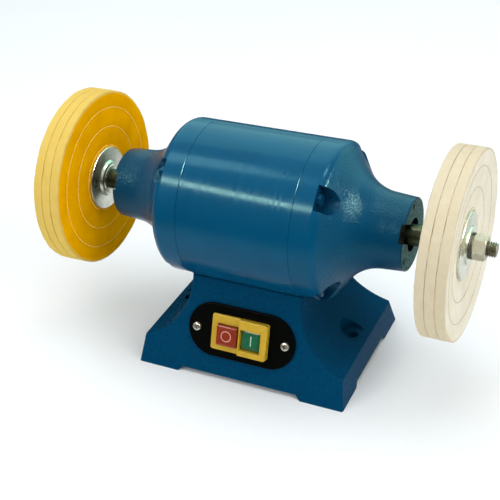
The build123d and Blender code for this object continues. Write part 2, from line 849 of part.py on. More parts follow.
# Switch plate, screwed to the sloping front
switch_hole_length = switch_body_length + 2 * panel_clearance
switch_hole_width = switch_body_width + 2 * panel_clearance
with BuildPart() as switch_plate:
    with BuildSketch(front_face):
        SlotOverall(plate_length, plate_width)
    extrude(amount=plate_thickness)
    chamfer(switch_plate.faces().sort_by(Axis(switch_centre, front_normal))[-1].edges(), plate_chamfer)
    with BuildSketch(front_face):
        Rectangle(switch_hole_length, switch_hole_width)
        with GridLocations(2 * plate_screw_spread, 0, 2, 1):
            Circle(plate_screw_radius + thread_clearance)
    extrude(amount=plate_thickness, mode=Mode.SUBTRACT)
save(switch_plate, "switch_plate")

plate_face = front_face.offset(plate_thickness)
with BuildPart() as switch_plate_screws:
    with BuildSketch(plate_face):
        with GridLocations(2 * plate_screw_spread, 0, 2, 1):
            Circle(plate_screw_head_radius)
    extrude(amount=plate_screw_head)
    head_edges = switch_plate_screws.faces().sort_by(Axis(switch_centre, front_normal))[-2:].edges()
    fillet(head_edges, plate_screw_head / 2)
    with BuildSketch(plate_face):
        with GridLocations(2 * plate_screw_spread, 0, 2, 1):
            Circle(plate_screw_radius)
    extrude(amount=-plate_screw_length)
save(switch_plate_screws, "switch_plate_screws")

# Switch: yellow frame with a raised collar round the start button, body, blades and two buttons
window_length = button_length + 2 * slide_clearance
window_width = button_width + 2 * slide_clearance
frame_face = plate_face.offset(frame_thickness)
with BuildPart() as switch_frame:
    with BuildSketch(plate_face):
        RectangleRounded(frame_length, frame_width, frame_round)
    extrude(amount=frame_thickness)
    with BuildSketch(frame_face):
        RectangleRounded(frame_length, frame_width, frame_round)
        Rectangle(frame_length, frame_width, align=(Align.MIN, Align.CENTER), mode=Mode.INTERSECT)
    extrude(amount=collar_height)
    with BuildSketch(plate_face):
        with Locations((-button_spread, -button_drop), (button_spread, -button_drop)):
            Rectangle(window_length, window_width)
    extrude(amount=frame_thickness + collar_height, mode=Mode.SUBTRACT)
save(switch_frame, "switch_frame")

well_depth = button_tail + button_travel + well_spare
with BuildPart() as switch_body:
    with BuildSketch(plate_face):
        Rectangle(switch_body_length, switch_body_width)
    extrude(amount=-switch_body_depth)
    with BuildSketch(plate_face):
        with Locations((-button_spread, -button_drop), (button_spread, -button_drop)):
            Rectangle(window_length, window_width)
    extrude(amount=-well_depth, mode=Mode.SUBTRACT)
save(switch_body, "switch_body")

with BuildPart() as switch_terminals:
    with BuildSketch(plate_face.offset(-switch_body_depth)):
        with GridLocations(blade_pitch_x, blade_pitch_y, 4, 2):
            Rectangle(blade_width, blade_thickness)
    extrude(amount=-blade_length)
save(switch_terminals, "switch_terminals")


def make_button(name, middle, rise):
    """A push button that slides in its window, bevelled round its face."""
    with BuildPart() as button:
        with BuildSketch(frame_face.offset(rise)):
            with Locations((middle, -button_drop)):
                Rectangle(button_length, button_width)
        extrude(amount=-(rise + frame_thickness + button_tail))
        face_edges = button.faces().sort_by(Axis(switch_centre, front_normal))[-1].edges()
        chamfer(face_edges, button_bevel)
    save(button, name)


make_button("off_button", -button_spread, red_button_rise)
make_button("on_button", button_spread, green_button_rise)

# Start capacitor held on the bottom cover by a strap, beside the terminal block
capacitor_height = cover_top + capacitor_radius
capacitor_plane = Plane((0, capacitor_offset, capacitor_height), x_dir=(0, 1, 0), z_dir=(1, 0, 0))
with BuildPart() as capacitor:
    with BuildSketch(capacitor_plane.offset(-capacitor_length / 2)):
        Circle(capacitor_radius - seat_clearance)
    extrude(amount=capacitor_length)
    chamfer(capacitor.edges().filter_by(GeomType.CIRCLE), capacitor_chamfer)
save(capacitor, "capacitor")

with BuildPart() as capacitor_clip:
    with BuildSketch(capacitor_plane.offset(-clip_width / 2)):
        Circle(clip_radius)
        Rectangle(2 * clip_radius, capacitor_radius, align=(Align.CENTER, Align.MAX))
        with Locations((0, -capacitor_radius)):
            Rectangle(
                2 * (clip_radius + clip_foot), clip_thickness, align=(Align.CENTER, Align.MIN)
            )
        Circle(capacitor_radius, mode=Mode.SUBTRACT)
        Rectangle(2 * capacitor_radius, capacitor_radius, align=(Align.CENTER, Align.MAX), mode=Mode.SUBTRACT)
        with Locations((0, -capacitor_radius)):
            Rectangle(
                2 * clip_radius, clip_thickness, align=(Align.CENTER, Align.MAX), mode=Mode.SUBTRACT
            )
    extrude(amount=clip_width)
    with BuildSketch(Plane.XY.offset(cover_top)):
        with Locations(*rivet_places):
            Circle(rivet_radius + seat_clearance)
    extrude(amount=clip_thickness, mode=Mode.SUBTRACT)
save(capacitor_clip, "capacitor_clip")

with BuildPart() as clip_rivets:
    with BuildSketch(Plane.XY.offset(foot_height)):
        with Locations(*rivet_places):
            Circle(rivet_radius)
    extrude(amount=cover_thickness + clip_thickness)
    for head_start in (foot_height - rivet_head, cover_top + clip_thickness):
        with BuildSketch(Plane.XY.offset(head_start)):
            with Locations(*rivet_places):
                Circle(rivet_head_radius)
        extrude(amount=rivet_head)
save(clip_rivets, "clip_rivets")

block_top = cover_top + block_height
with BuildPart() as terminal_block:
    with BuildSketch(Plane.XY.offset(cover_top)):
        with Locations((0, block_offset)):
            Rectangle(block_length, block_width)
    extrude(amount=block_height)
    with BuildSketch(Plane.XY.offset(block_top)):
        with Locations((0, block_offset)):
            with GridLocations(block_pitch, block_width / 2, block_poles, 2):
                Circle(block_well_radius)
    extrude(amount=-block_well_depth, mode=Mode.SUBTRACT)
    with BuildSketch(Plane.XY.offset(cover_top)):
        with Locations(*block_screw_places):
            Circle(block_screw_radius + thread_clearance)
    extrude(amount=block_height, mode=Mode.SUBTRACT)
save(terminal_block, "terminal_block")

with BuildPart() as block_screws:
    with BuildSketch(Plane.XY.offset(block_top)):
        with Locations(*block_screw_places):
            Circle(block_screw_head_radius)
    extrude(amount=block_screw_head)
    with BuildSketch(Plane.XY.offset(foot_height - block_screw_tip)):
        with Locations(*block_screw_places):
            Circle(block_screw_radius)
    extrude(amount=block_top - foot_height + block_screw_tip)
save(block_screws, "block_screws")

# Cable gland through the back wall: body, domed cap and lock nut
gland_tail = base_wall + gland_nut_height + gland_thread_spare
with BuildPart() as cable_gland:
    with BuildSketch(back_face):
        RegularPolygon(gland_flats / 2, 6, major_radius=False)
    extrude(amount=gland_hex_height)
    with BuildSketch(back_face):
        Circle(gland_thread_radius)
    extrude(amount=-gland_tail)
    with BuildSketch(back_face.offset(gland_hex_height)):
        Circle(gland_bore)
    extrude(amount=-(gland_hex_height + gland_tail), mode=Mode.SUBTRACT)
save(cable_gland, "cable_gland")

with BuildPart() as gland_cap:
    with BuildSketch(back_face.offset(gland_hex_height)):
        Circle(gland_cap_radius)
    extrude(amount=gland_cap_height)
    fillet(gland_cap.faces().sort_by(Axis(gland_centre, back_normal))[-1].edges(), gland_cap_round)
    with BuildSketch(back_face.offset(gland_hex_height)):
        Circle(gland_bore)
    extrude(amount=gland_cap_height, mode=Mode.SUBTRACT)
save(gland_cap, "gland_cap")

with BuildPart() as gland_locknut:
    with BuildSketch(back_face.offset(-base_wall)):
        RegularPolygon(gland_flats / 2, 6, major_radius=False)
        Circle(gland_thread_radius + thread_clearance, mode=Mode.SUBTRACT)
    extrude(amount=-gland_nut_height)
save(gland_locknut, "gland_locknut")
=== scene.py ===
"""Looks of the bench polishing machine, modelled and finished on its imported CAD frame.

Objects are in metres on the frame's own axes: X runs along the spindle towards the white buff, the
front faces -Y and Z is up. Size fields, outlines and patterns are in millimetres.
"""

import functools
import json
import logging
import math
from collections.abc import Callable, Iterator, Mapping, Sequence
from contextlib import contextmanager
from dataclasses import dataclass
from enum import Enum
from typing import Any, ClassVar

import bmesh
import bpy
from mathutils import Matrix, Vector


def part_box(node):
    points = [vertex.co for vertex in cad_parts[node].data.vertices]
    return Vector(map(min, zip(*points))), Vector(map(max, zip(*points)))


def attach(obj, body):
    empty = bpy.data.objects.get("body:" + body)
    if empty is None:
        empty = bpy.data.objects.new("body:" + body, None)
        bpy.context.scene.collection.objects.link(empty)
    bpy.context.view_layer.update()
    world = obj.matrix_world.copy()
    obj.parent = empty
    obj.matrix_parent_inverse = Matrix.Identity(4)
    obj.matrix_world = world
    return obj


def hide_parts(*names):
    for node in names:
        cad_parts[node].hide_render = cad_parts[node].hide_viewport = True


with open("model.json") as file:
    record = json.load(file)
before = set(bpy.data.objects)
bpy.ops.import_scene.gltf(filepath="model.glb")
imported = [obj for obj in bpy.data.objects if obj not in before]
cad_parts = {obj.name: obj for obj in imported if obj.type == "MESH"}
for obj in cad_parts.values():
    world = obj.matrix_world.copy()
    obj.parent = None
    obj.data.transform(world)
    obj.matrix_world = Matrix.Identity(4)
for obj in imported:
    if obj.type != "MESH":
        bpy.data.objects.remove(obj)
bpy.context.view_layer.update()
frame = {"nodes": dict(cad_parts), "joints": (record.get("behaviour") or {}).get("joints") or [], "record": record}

log = logging.getLogger("polishing_machine")

Piece = bpy.types.Object
Socket = bpy.types.NodeSocket
Inputs = Mapping[str | int, Any]
Pair = tuple[float, float]
Point = tuple[float, float, float]

MM = 0.001
TURN = 2 * math.pi
MERGE = 1e-6  # metres within which points are one
LEVEL = 0.01 * MM  # how far a flat face's points may lie off it
AXIS_HEIGHT = sum(corner.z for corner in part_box("spindle")) / 2
SPINDLE = Matrix.Translation((0, 0, AXIS_HEIGHT))

# The buttons slide straight into the sloping front, so their travel gives its direction
INWARD = Vector(next(joint["axis"] for joint in frame["joints"] if joint["name"] == "off_button_press"))
OUTWARD = -INWARD.normalized()
ACROSS = Vector((1, 0, 0))
UPSLOPE = OUTWARD.cross(ACROSS)


class Side(Enum):
    """The two ends of the spindle, by the sign of their X."""

    LEFT = -1
    RIGHT = 1

    @property
    def label(self) -> str:
        """The side as the nodes' names spell it."""
        return self.name.lower()

    @property
    def place(self) -> Matrix:
        """Takes shapes drawn outwards along +X from the spindle's middle to this end."""
        return SPINDLE @ Matrix.Scale(self.value, 4, ACROSS)


class Throw(Enum):
    """What a lamp is for."""

    SHINE = "shows in reflections alone"
    FILL = "lights surfaces without showing in them"


class Marks(Enum):
    """What the making of a surface left on it."""

    GRAIN = "grain of a mould, a sand core or a blasted face"
    RINGS = "tool rings about the spindle"
    LAY = "streaks along the spindle, as drawn or rolled stock has"
    STACK = "edges of sheets or wires laid side by side along the spindle"


# Mesh work


def alone(*pieces: Piece) -> None:
    """Selects some pieces and nothing else, and makes the first the active one.

    Args:
        pieces: The pieces to work on.
    """
    bpy.ops.object.select_all(action="DESELECT")
    for piece in pieces:
        piece.select_set(True)
    bpy.context.view_layer.objects.active = pieces[0]


@contextmanager
def editing(piece: Piece) -> Iterator[None]:
    """Edit mode on one piece alone, with the whole of its mesh selected.

    Args:
        piece: The piece to work on.

    Returns:
        A context that goes back to object mode at its end.
    """
    alone(piece)
    bpy.ops.object.mode_set(mode="EDIT")
    bpy.ops.mesh.select_mode(type="VERT")
    bpy.ops.mesh.select_all(action="SELECT")
    yield
    bpy.ops.object.mode_set(mode="OBJECT")


def pick(piece: Piece, test: Callable[[Vector], bool]) -> None:
    """Selects the vertices of a piece in edit mode by their places.

    Args:
        piece: The piece that is in edit mode.
        test: Says of a place whether it is wanted.
    """
    bpy.ops.mesh.select_all(action="DESELECT")
    mesh = bmesh.from_edit_mesh(piece.data)
    for vertex in mesh.verts:
        vertex.select = test(vertex.co)
    mesh.select_flush_mode()
    bmesh.update_edit_mesh(piece.data)


def cut(place: Sequence[float], normal: Sequence[float], **settings: Any) -> None:
    """Cuts the whole of the mesh that is in edit mode along a plane."""
    bpy.ops.mesh.select_all(action="SELECT")
    bpy.ops.mesh.bisect(plane_co=place, plane_no=normal, **settings)


def begin(name: str, primitive: Callable[..., Any], **settings: Any) -> Piece:
    """Starts a piece from a primitive, with nothing else selected.

    Args:
        name: The piece's name.
        primitive: The operator that adds the primitive.
        settings: The operator's own settings.

    Returns:
        The new piece.
    """
    bpy.ops.object.select_all(action="DESELECT")
    primitive(**settings)
    piece = bpy.context.object
    piece.name = piece.data.name = name
    return piece


def refine(piece: Piece, kind: str, **settings: Any) -> None:
    """Adds a modifier to a piece and applies it.

    Args:
        piece: The piece to change.
        kind: The modifier's type.
        settings: The modifier's own settings.
    """
    alone(piece)
    modifier = piece.modifiers.new(kind.title(), kind)
    for key, value in settings.items():
        setattr(modifier, key, value)
    bpy.ops.object.modifier_apply(modifier=modifier.name)


def set_down(piece: Piece, place: Matrix) -> None:
    """Moves a piece's mesh to its place, with the object left at the origin and its faces outwards.

    Args:
        piece: The piece, drawn about the origin.
        place: Where it goes.
    """
    alone(piece)
    piece.matrix_world = place
    bpy.ops.object.transform_apply(location=True, rotation=True, scale=True)
    with editing(piece):
        bpy.ops.mesh.remove_doubles(threshold=MERGE)
        bpy.ops.mesh.normals_make_consistent(inside=False)


def smooth(piece: Piece, angle: float) -> None:
    """Shades a piece smooth, apart from edges sharper than an angle in degrees."""
    alone(piece)
    bpy.ops.object.shade_smooth_by_angle(angle=math.radians(angle))


def rounded(corners: Sequence[Point], closed: bool = True, steps: int = 4) -> list[Vector]:
    """Rounds the corners of a turned outline with arcs.

    Args:
        corners: Each corner's x, its distance from the axis and the radius that rounds it.
        closed: Whether the last corner joins the first.
        steps: Facets of each arc.

    Returns:
        The outline's points in metres, with the first repeated at the end of a closed one.
    """
    points = [Vector(corner[:2]) * MM for corner in corners]
    outline: list[Vector] = []
    for index, (corner, point) in enumerate(zip(corners, points)):
        bend = corner[2] * MM
        if not bend:
            outline.append(point)
            continue
        back = (points[index - 1] - point).normalized()
        ahead = (points[(index + 1) % len(points)] - point).normalized()
        half = back.angle(ahead) / 2
        middle = point + (back + ahead).normalized() * (bend / math.sin(half))
        reach = bend / math.tan(half)
        start, end = ((point + way * reach - middle).normalized() for way in (back, ahead))
        outline += [middle + start.slerp(end, step / steps) * bend for step in range(steps + 1)]
    return outline + outline[:1] if closed else outline


def wire(name: str, outline: Sequence[Vector]) -> Piece:
    """Draws an outline as a chain of edges.

    Args:
        name: The piece's name.
        outline: Points as x and distance from the axis, in metres and in order.

    Returns:
        The chain.
    """
    piece = begin(name, bpy.ops.mesh.primitive_plane_add, size=MM)
    with editing(piece):
        bpy.ops.mesh.merge(type="CENTER")
        bpy.ops.transform.translate(value=(outline[0].x, 0, outline[0].y))
        for here, there in zip(outline, outline[1:]):
            reach = (there.x - here.x, 0, there.y - here.y)
            bpy.ops.mesh.extrude_vertices_move(TRANSFORM_OT_translate={"value": reach})
    return piece


def lathe(name: str, outline: Sequence[Vector], steps: int, place: Matrix) -> Piece:
    """Turns an outline about the X axis and sets the piece down.

    Args:
        name: The piece's name.
        outline: Points as x and distance from the axis, in metres and in order.
        steps: Facets round the turn.
        place: Where the piece goes.

    Returns:
        The turned piece.
    """
    piece = wire(name, outline)
    with editing(piece):
        bpy.ops.mesh.spin(steps=steps, angle=TURN, center=(0, 0, 0), axis=ACROSS)
    set_down(piece, place)
    return piece


def node_copy(node: str, name: str) -> Piece:
    """Copies a CAD node's mesh into a new piece, with its loose triangles merged into whole faces.

    Args:
        node: The CAD node.
        name: The new piece's name.

    Returns:
        The new piece.
    """
    piece = bpy.data.objects.new(name, frame["nodes"][node].data.copy())
    piece.data.name = name
    bpy.context.scene.collection.objects.link(piece)
    with editing(piece):
        bpy.ops.mesh.customdata_custom_splitnormals_clear()
        bpy.ops.mesh.remove_doubles(threshold=MERGE)
        bpy.ops.mesh.dissolve_limited(angle_limit=math.radians(0.5))
    return piece


def soften(piece: Piece, width: float) -> None:
    """Rounds a piece's sharp edges, as moulding, plating or paint leaves them.

    Args:
        piece: The piece to change.
        width: How far the rounding reaches from each edge.
    """
    refine(
        piece, "BEVEL", width=width * MM, segments=3, limit_method="ANGLE", angle_limit=math.radians(32),
        use_clamp_overlap=True, loop_slide=False,
    )
    smooth(piece, 30)
    refine(piece, "WEIGHTED_NORMAL", keep_sharp=True)


def on_front(point: Vector) -> Matrix:
    """A place on the sloping front for shapes drawn outwards along +X, with Z up the slope."""
    return Matrix.Translation(point) @ Matrix((OUTWARD, ACROSS, UPSLOPE)).transposed().to_4x4()


def face_middle(node: str) -> Vector:
    """Finds the middle of a CAD node's foremost flat face on the sloping front.

    Args:
        node: The CAD node.

    Returns:
        The middle of the face.
    """
    points = [vertex.co for vertex in frame["nodes"][node].data.vertices]
    level = max(point.dot(OUTWARD) for point in points)
    face = [point for point in points if point.dot(OUTWARD) > level - LEVEL]
    middle = OUTWARD * level
    for way in (ACROSS, UPSLOPE):
        reach = [point.dot(way) for point in face]
        middle += way * (min(reach) + max(reach)) / 2
    return middle


def span(node: str) -> Pair:
    """A CAD node's near and far ends along the spindle, outwards from the middle."""
    near, far = sorted(abs(corner.x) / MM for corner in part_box(node))
    return near, far


# Finishes


def linear(colour: str) -> tuple[float, float, float, float]:
    """Turns an sRGB hex colour into linear light.

    Args:
        colour: Six hex digits after a hash.

    Returns:
        Linear red, green, blue and an alpha of 1.
    """
    parts = [int(colour[place : place + 2], 16) / 255 for place in (1, 3, 5)]
    red, green, blue = (
        part / 12.92 if part <= 0.04045 else ((part + 0.055) / 1.055) ** 2.4 for part in parts
    )
    return red, green, blue, 1.0


def per_metre(size: float) -> float:
    """How often a pattern of this size repeats in a metre."""
    return 1 / (size * MM)


def waves(size: float) -> float:
    """Scale of a wave texture whose bands are this far apart; at scale 1 they are TURN / 20 apart."""
    return per_metre(size) * TURN / 20


class Nodes:
    """The nodes of a material or of the world, while they are added."""

    def __init__(self, owner: bpy.types.ID, shader: str, space: str) -> None:
        """Opens the tree of nodes.

        Args:
            owner: The material or the world.
            shader: Name of its shader.
            space: The coordinates that its patterns lie in.
        """
        owner.use_nodes = True
        self.tree = owner.node_tree
        self.shader = self.tree.nodes[shader]
        self.place = self.add("TexCoord", {}, space)

    def fill(self, node: bpy.types.Node, inputs: Inputs) -> None:
        """Sets or links inputs of a node.

        Args:
            node: The node.
            inputs: A value or an output for each input, by its name or number.
        """
        for key, value in inputs.items():
            if isinstance(value, Socket):
                self.tree.links.new(value, node.inputs[key])
            else:
                node.inputs[key].default_value = value

    def add(self, kind: str, inputs: Inputs, output: str | int = 0, **settings: Any) -> Socket:
        """Adds a node with its settings and links.

        Args:
            kind: The node's type, without the words that begin every shader node's.
            inputs: A value or an output for each input, by its name or number.
            output: The output that is wanted, by its name or number.
            settings: The node's own settings.

        Returns:
            The output.
        """
        node = self.tree.nodes.new(f"ShaderNode{kind}")
        for key, value in settings.items():
            setattr(node, key, value)
        self.fill(node, inputs)
        return node.outputs[output]

    def mask(self, *edges: tuple[Socket, float, float]) -> Socket:
        """Masks the part of a surface that lies within some edges.

        Args:
            edges: A length, then where it is outside and where it is inside.

        Returns:
            1 inside every edge, 0 outside any.
        """
        rises = [
            self.add("MapRange", {"Value": length, "From Min": start * MM, "From Max": end * MM})
            for length, start, end in edges
        ]
        return functools.reduce(lambda a, b: self.add("Math", {0: a, 1: b}, operation="MULTIPLY"), rises)

    def lay_over(self, target: str, mask: Socket, layer: Any) -> None:
        """Lays something over what already feeds an input of the shader.

        Args:
            target: The input's name.
            mask: 1 where the layer covers, 0 where it doesn't.
            layer: The layer's value, or the output that gives it.
        """
        under = self.shader.inputs[target].links[0].from_socket
        if self.shader.inputs[target].type == "RGBA":
            both = self.add("Mix", {0: mask, 6: under, 7: layer}, 2, data_type="RGBA")
        else:
            both = self.add("Mix", {0: mask, 2: under, 3: layer})
        self.fill(self.shader, {target: both})

    def about_spindle(self) -> tuple[Socket, Socket]:
        """Measures from the spindle's axis.

        Returns:
            The place about the axis, without its distance along it, and the distance from the axis.
        """
        flat = {"Vector": self.place, "Location": (0, 0, -AXIS_HEIGHT), "Scale": (0, 1, 1)}
        disc = self.add("Mapping", flat)
        return disc, self.add("VectorMath", {0: disc}, "Value", operation="LENGTH")


@dataclass(frozen=True)
class Finish:
    """A surface on one Principled shader, with its patterns sized in millimetres."""

    name: str  # what the material is
    colour: str
    patches: str  # the colour that its mottling goes to
    patch_size: float
    roughness: Pair  # lowest and highest, which the mottling runs between
    mark_size: float  # spacing of the marks
    mark_depth: float
    marks: Marks = Marks.GRAIN
    metallic: float = 0.0
    gloss: float = 0.5  # specular level
    mottle: Pair = (0.33, 0.67)  # the noise's range that the mottling takes
    streak: float = 12.5  # length of a drawn streak for its width

    def build(self) -> bpy.types.Material:
        """Makes the material.

        Returns:
            The finished material.
        """
        material = bpy.data.materials.new(self.name)
        nodes = Nodes(material, "Principled BSDF", "Object")
        (least, most), (low, high) = self.mottle, self.roughness
        cloud = {"Vector": nodes.place, "Scale": per_metre(self.patch_size), "Detail": 4.0}
        noise = nodes.add("TexNoise", cloud)
        mottle = nodes.add("MapRange", {"Value": noise, "From Min": least, "From Max": most})
        colours = {0: mottle, 6: linear(self.colour), 7: linear(self.patches)}
        nodes.fill(nodes.shader, {
            "Base Color": nodes.add("Mix", colours, 2, data_type="RGBA"),
            "Metallic": self.metallic,
            "Roughness": nodes.add("MapRange", {"Value": mottle, "To Min": low, "To Max": high}),
            "Specular IOR Level": self.gloss,
            "Normal": nodes.add("Bump", {"Height": self.height(nodes), "Distance": self.mark_depth * MM}),
        })
        self.detail(nodes)
        return material

    def height(self, nodes: Nodes) -> Socket:
        """Draws the marks.

        Args:
            nodes: The material's nodes.

        Returns:
            The marks' height from 0 to 1.
        """
        place = nodes.place
        if self.marks in (Marks.RINGS, Marks.STACK):
            centred = nodes.add("Mapping", {"Vector": place, "Location": (0, 0, -AXIS_HEIGHT)})
            wave = {"Vector": centred, "Scale": waves(self.mark_size), "Distortion": 0.6, "Detail": 2.0}
            kind = "RINGS" if self.marks is Marks.RINGS else "BANDS"
            ways = {"rings_direction": "X", "bands_direction": "X"}
            return nodes.add("TexWave", wave, "Fac", wave_type=kind, **ways)
        if self.marks is Marks.LAY:
            place = nodes.add("Mapping", {"Vector": place, "Scale": (1 / self.streak, 1, 1)})
        return nodes.add("TexNoise", {"Vector": place, "Scale": per_metre(self.mark_size), "Detail": 3.0})

    def detail(self, nodes: Nodes) -> None:
        """Adds what only one finish has; a plain finish adds nothing."""


@dataclass(frozen=True)
class Metal(Finish):
    """Bare or plated metal."""

    metallic: float = 1.0


@dataclass(frozen=True)
class TurnedEnamel(Finish):
    """Enamel over turned metal: its sheen takes the paint's own tone, and fine tool rings break it up."""

    ring_size: float = 2.4
    ring_depth: float = 0.003
    rings: Pair = (0.35, 0.65)  # the noise's range that the roughness takes
    sheen: str = "#A8FFFF"  # tone of the reflections seen face on

    def detail(self, nodes: Nodes) -> None:
        """Adds the tool rings, uneven along the spindle, over the paint's own waviness.

        Args:
            nodes: The material's nodes.
        """
        along = nodes.add("SeparateXYZ", {0: nodes.place}, "X")
        uneven = {"W": along, "Scale": per_metre(self.ring_size), "Detail": 2.0}
        rings = nodes.add("TexNoise", uneven, noise_dimensions="1D")
        under = nodes.shader.inputs["Normal"].links[0].from_socket
        (least, most), (low, high) = self.rings, self.roughness
        dull = {"Value": rings, "From Min": least, "From Max": most, "To Min": low, "To Max": high}
        ridges = {"Height": rings, "Distance": self.ring_depth * MM, "Normal": under}
        nodes.fill(nodes.shader, {
            "Normal": nodes.add("Bump", ridges),
            "Roughness": nodes.add("MapRange", dull),
            "Specular Tint": linear(self.sheen),
        })


@dataclass(frozen=True)
class BellEnamel(TurnedEnamel):
    """Enamel over a casting with a turned rim, a rough flare and a bare faced end, with shade painted on its neck,
    in its bolt pockets and in its nose's hollow.

    Distances along the spindle run outwards from its middle.
    """

    cast: Pair = (65.5, 72.0)  # where the rough casting begins, and where it is at its roughest
    neck: Pair = (84.0, 108.0)  # where the painted shade on the neck begins, and where it is at its darkest
    # painted shade on the neck: a deeper tone of the enamel
    neck_shade_colour: str = "#013C5A"
    pocket_floor: float = 64.0
    pocket_circle: float = 58.0  # radius that the four bolt pockets lie on
    pocket_radius: float = 10.0
    # painted shade inside the bolt pockets
    pocket_shade_colour: str = "#043858"
    hollow_from: float = 112.0  # where the painted shade inside the nose's bore and notch begins
    hollow_radius: float = 28.6
    # painted shade, near black, inside the nose's bore and notch
    hollow_shade_colour: str = "#12171A"
    faced_at: float = 125.9
    faced: str = "#788488"
    faced_roughness: float = 0.5
    faced_metallic: float = 0.6
    pores: str = "#2C3436"  # colour of the faced end's pores
    pore_size: float = 1.6
    pore_range: Pair = (0.38, 0.6)  # the noise's range between pores and bare metal
    seam: float = 0.1  # width of a coat's edge

    def detail(self, nodes: Nodes) -> None:
        """Keeps the grain to the flare, paints shade on the neck, in the bolt pockets and in the nose's hollow,
        and bares the neck's end.

        Args:
            nodes: The material's nodes.
        """
        along = nodes.add("SeparateXYZ", {0: nodes.place}, "X")
        reach = nodes.add("Math", {0: along}, operation="ABSOLUTE")
        grain = nodes.shader.inputs["Normal"].links[0].from_node
        nodes.fill(grain, {"Strength": nodes.mask((reach, *self.cast))})
        super().detail(nodes)
        disc, radius = nodes.about_spindle()
        speckle = {"Vector": nodes.place, "Scale": per_metre(self.pore_size), "Detail": 4.0}
        least, most = self.pore_range
        specks = {"Value": nodes.add("TexNoise", speckle), "From Min": least, "From Max": most}
        iron = {0: nodes.add("MapRange", specks), 6: linear(self.pores), 7: linear(self.faced)}
        hollow = nodes.mask(
            (reach, self.hollow_from - self.seam, self.hollow_from),
            (radius, self.hollow_radius + self.seam, self.hollow_radius),
        )
        bare = nodes.mask((reach, self.faced_at - self.seam / 2, self.faced_at + self.seam / 2))
        # Painted shade on the neck, in the bolt pockets and in the nose's hollow, then the bare faced end
        for mask, coat in (
            (nodes.mask((reach, *self.neck)), linear(self.neck_shade_colour)),
            (self.in_pockets(nodes, disc, reach), linear(self.pocket_shade_colour)),
            (hollow, linear(self.hollow_shade_colour)),
            (bare, nodes.add("Mix", iron, 2, data_type="RGBA")),
        ):
            nodes.lay_over("Base Color", mask, coat)
        nodes.lay_over("Roughness", bare, self.faced_roughness)
        metal = nodes.add("Math", {0: bare, 1: self.faced_metallic}, operation="MULTIPLY")
        nodes.fill(nodes.shader, {"Metallic": metal})

    def in_pockets(self, nodes: Nodes, disc: Socket, reach: Socket) -> Socket:
        """Masks the insides of the four bolt pockets, which are open away from the spindle, where shade is
        painted.

        Args:
            nodes: The material's nodes.
            disc: Place about the spindle, without its distance along it.
            reach: Distance along the spindle from its middle.

        Returns:
            The mask.
        """
        quarter = nodes.add("VectorMath", {0: disc}, operation="ABSOLUTE")
        middle = (0, -self.pocket_circle * MM, 0)
        lobe = nodes.add("Mapping", {"Vector": quarter, "Rotation": (-TURN / 8, 0, 0), "Location": middle})
        opened = nodes.add("VectorMath", {0: lobe, 1: (0, 0, 1)}, operation="MINIMUM")
        away = nodes.add("VectorMath", {0: opened}, "Value", operation="LENGTH")
        return nodes.mask(
            (away, self.pocket_radius + 2 * self.seam, self.pocket_radius),
            (reach, self.pocket_floor - 2 * self.seam, self.pocket_floor - self.seam),
        )


@dataclass(frozen=True, kw_only=True)
class Cotton(Finish):
    """Woven cotton, with the cut ends of its threads paler and softer at the rim."""

    rim: str
    rim_patches: str
    rim_from: Pair = (72.4, 74.2)  # distances from the spindle where the rim begins and where it is palest
    tuft: float = 6.0  # size of the rim's patches

    def height(self, nodes: Nodes) -> Socket:
        """Draws the weave as crossed waves, broken by loose fibres.

        Args:
            nodes: The material's nodes.

        Returns:
            The weave's height.
        """
        thread = {"Vector": nodes.place, "Scale": waves(self.mark_size), "Distortion": 0.8, "Detail": 1.0}
        warp, weft = (nodes.add("TexWave", thread, "Fac", bands_direction=way) for way in "YZ")
        weave = nodes.add("Math", {0: warp, 1: weft}, operation="MULTIPLY")
        loose = {"Vector": nodes.place, "Scale": per_metre(self.mark_size), "Detail": 4.0}
        return nodes.add("Math", {0: weave, 1: nodes.add("TexNoise", loose)}, operation="ADD")

    def detail(self, nodes: Nodes) -> None:
        """Colours the rim.

        Args:
            nodes: The material's nodes.
        """
        _, radius = nodes.about_spindle()
        tufts = {"Vector": nodes.place, "Scale": per_metre(self.tuft), "Detail": 3.0}
        ends = {0: nodes.add("TexNoise", tufts), 6: linear(self.rim), 7: linear(self.rim_patches)}
        rim = nodes.mask((radius, *self.rim_from))
        nodes.lay_over("Base Color", rim, nodes.add("Mix", ends, 2, data_type="RGBA"))


# Every finish gives its name, colour, patch colour, patch size, roughness, mark size and mark depth

# Enamel over a turned tube: a long, sharp streak of light that fine rings cut across
BARREL_ENAMEL = TurnedEnamel(
    "enamel_over_turned_tube", "#024B6E", "#024566", 30.0, (0.1, 0.24), 7.0, 0.03, gloss=0.25
)
# Bright zinc plate on small screws: silvery, with dark recesses
SCREW_ZINC = Finish(
    "bright_zinc_plated_steel", "#E2E2D6", "#D0D0C2", 5.0, (0.26, 0.38), 1.8, 0.01, metallic=0.9
)
# Oiled steel where the thread is cut: brighter crests between dark roots
CUT_STEEL = Metal("cut_thread_carbon_steel", "#96947C", "#6E6C58", 4.0, (0.24, 0.36), 1.4, 0.01)
# Thin pad-printed white ink, which lets some of the red or the green through: flat, slightly chalky
STOP_INK = Finish("pad_printed_ink_over_red", "#DCA294", "#CE9284", 3.0, (0.5, 0.6), 1.2, 0.01)
START_INK = Finish("pad_printed_ink_over_green", "#CFE2D2", "#BBD4C0", 3.0, (0.5, 0.6), 1.2, 0.01)
# Undyed waxed sewing cord on the yellow buff: pale against the orange
PALE_CORD = Finish("waxed_pale_cotton_cord", "#FFCF5C", "#FAC44C", 4.0, (0.8, 0.9), 0.9, 0.05, gloss=0.2)
# Undyed waxed sewing cord on the white buff: a shade darker than the cloth
FAWN_CORD = Finish("waxed_fawn_cotton_cord", "#D8CCB0", "#CCBEA0", 4.0, (0.8, 0.9), 0.9, 0.05, gloss=0.2)
# Seamless matt paper under the machine
PAPER = Finish("matt_white_paper", "#F6F6F6", "#F4F4F4", 300.0, (0.8, 0.9), 2.0, 0.0, gloss=0.1)

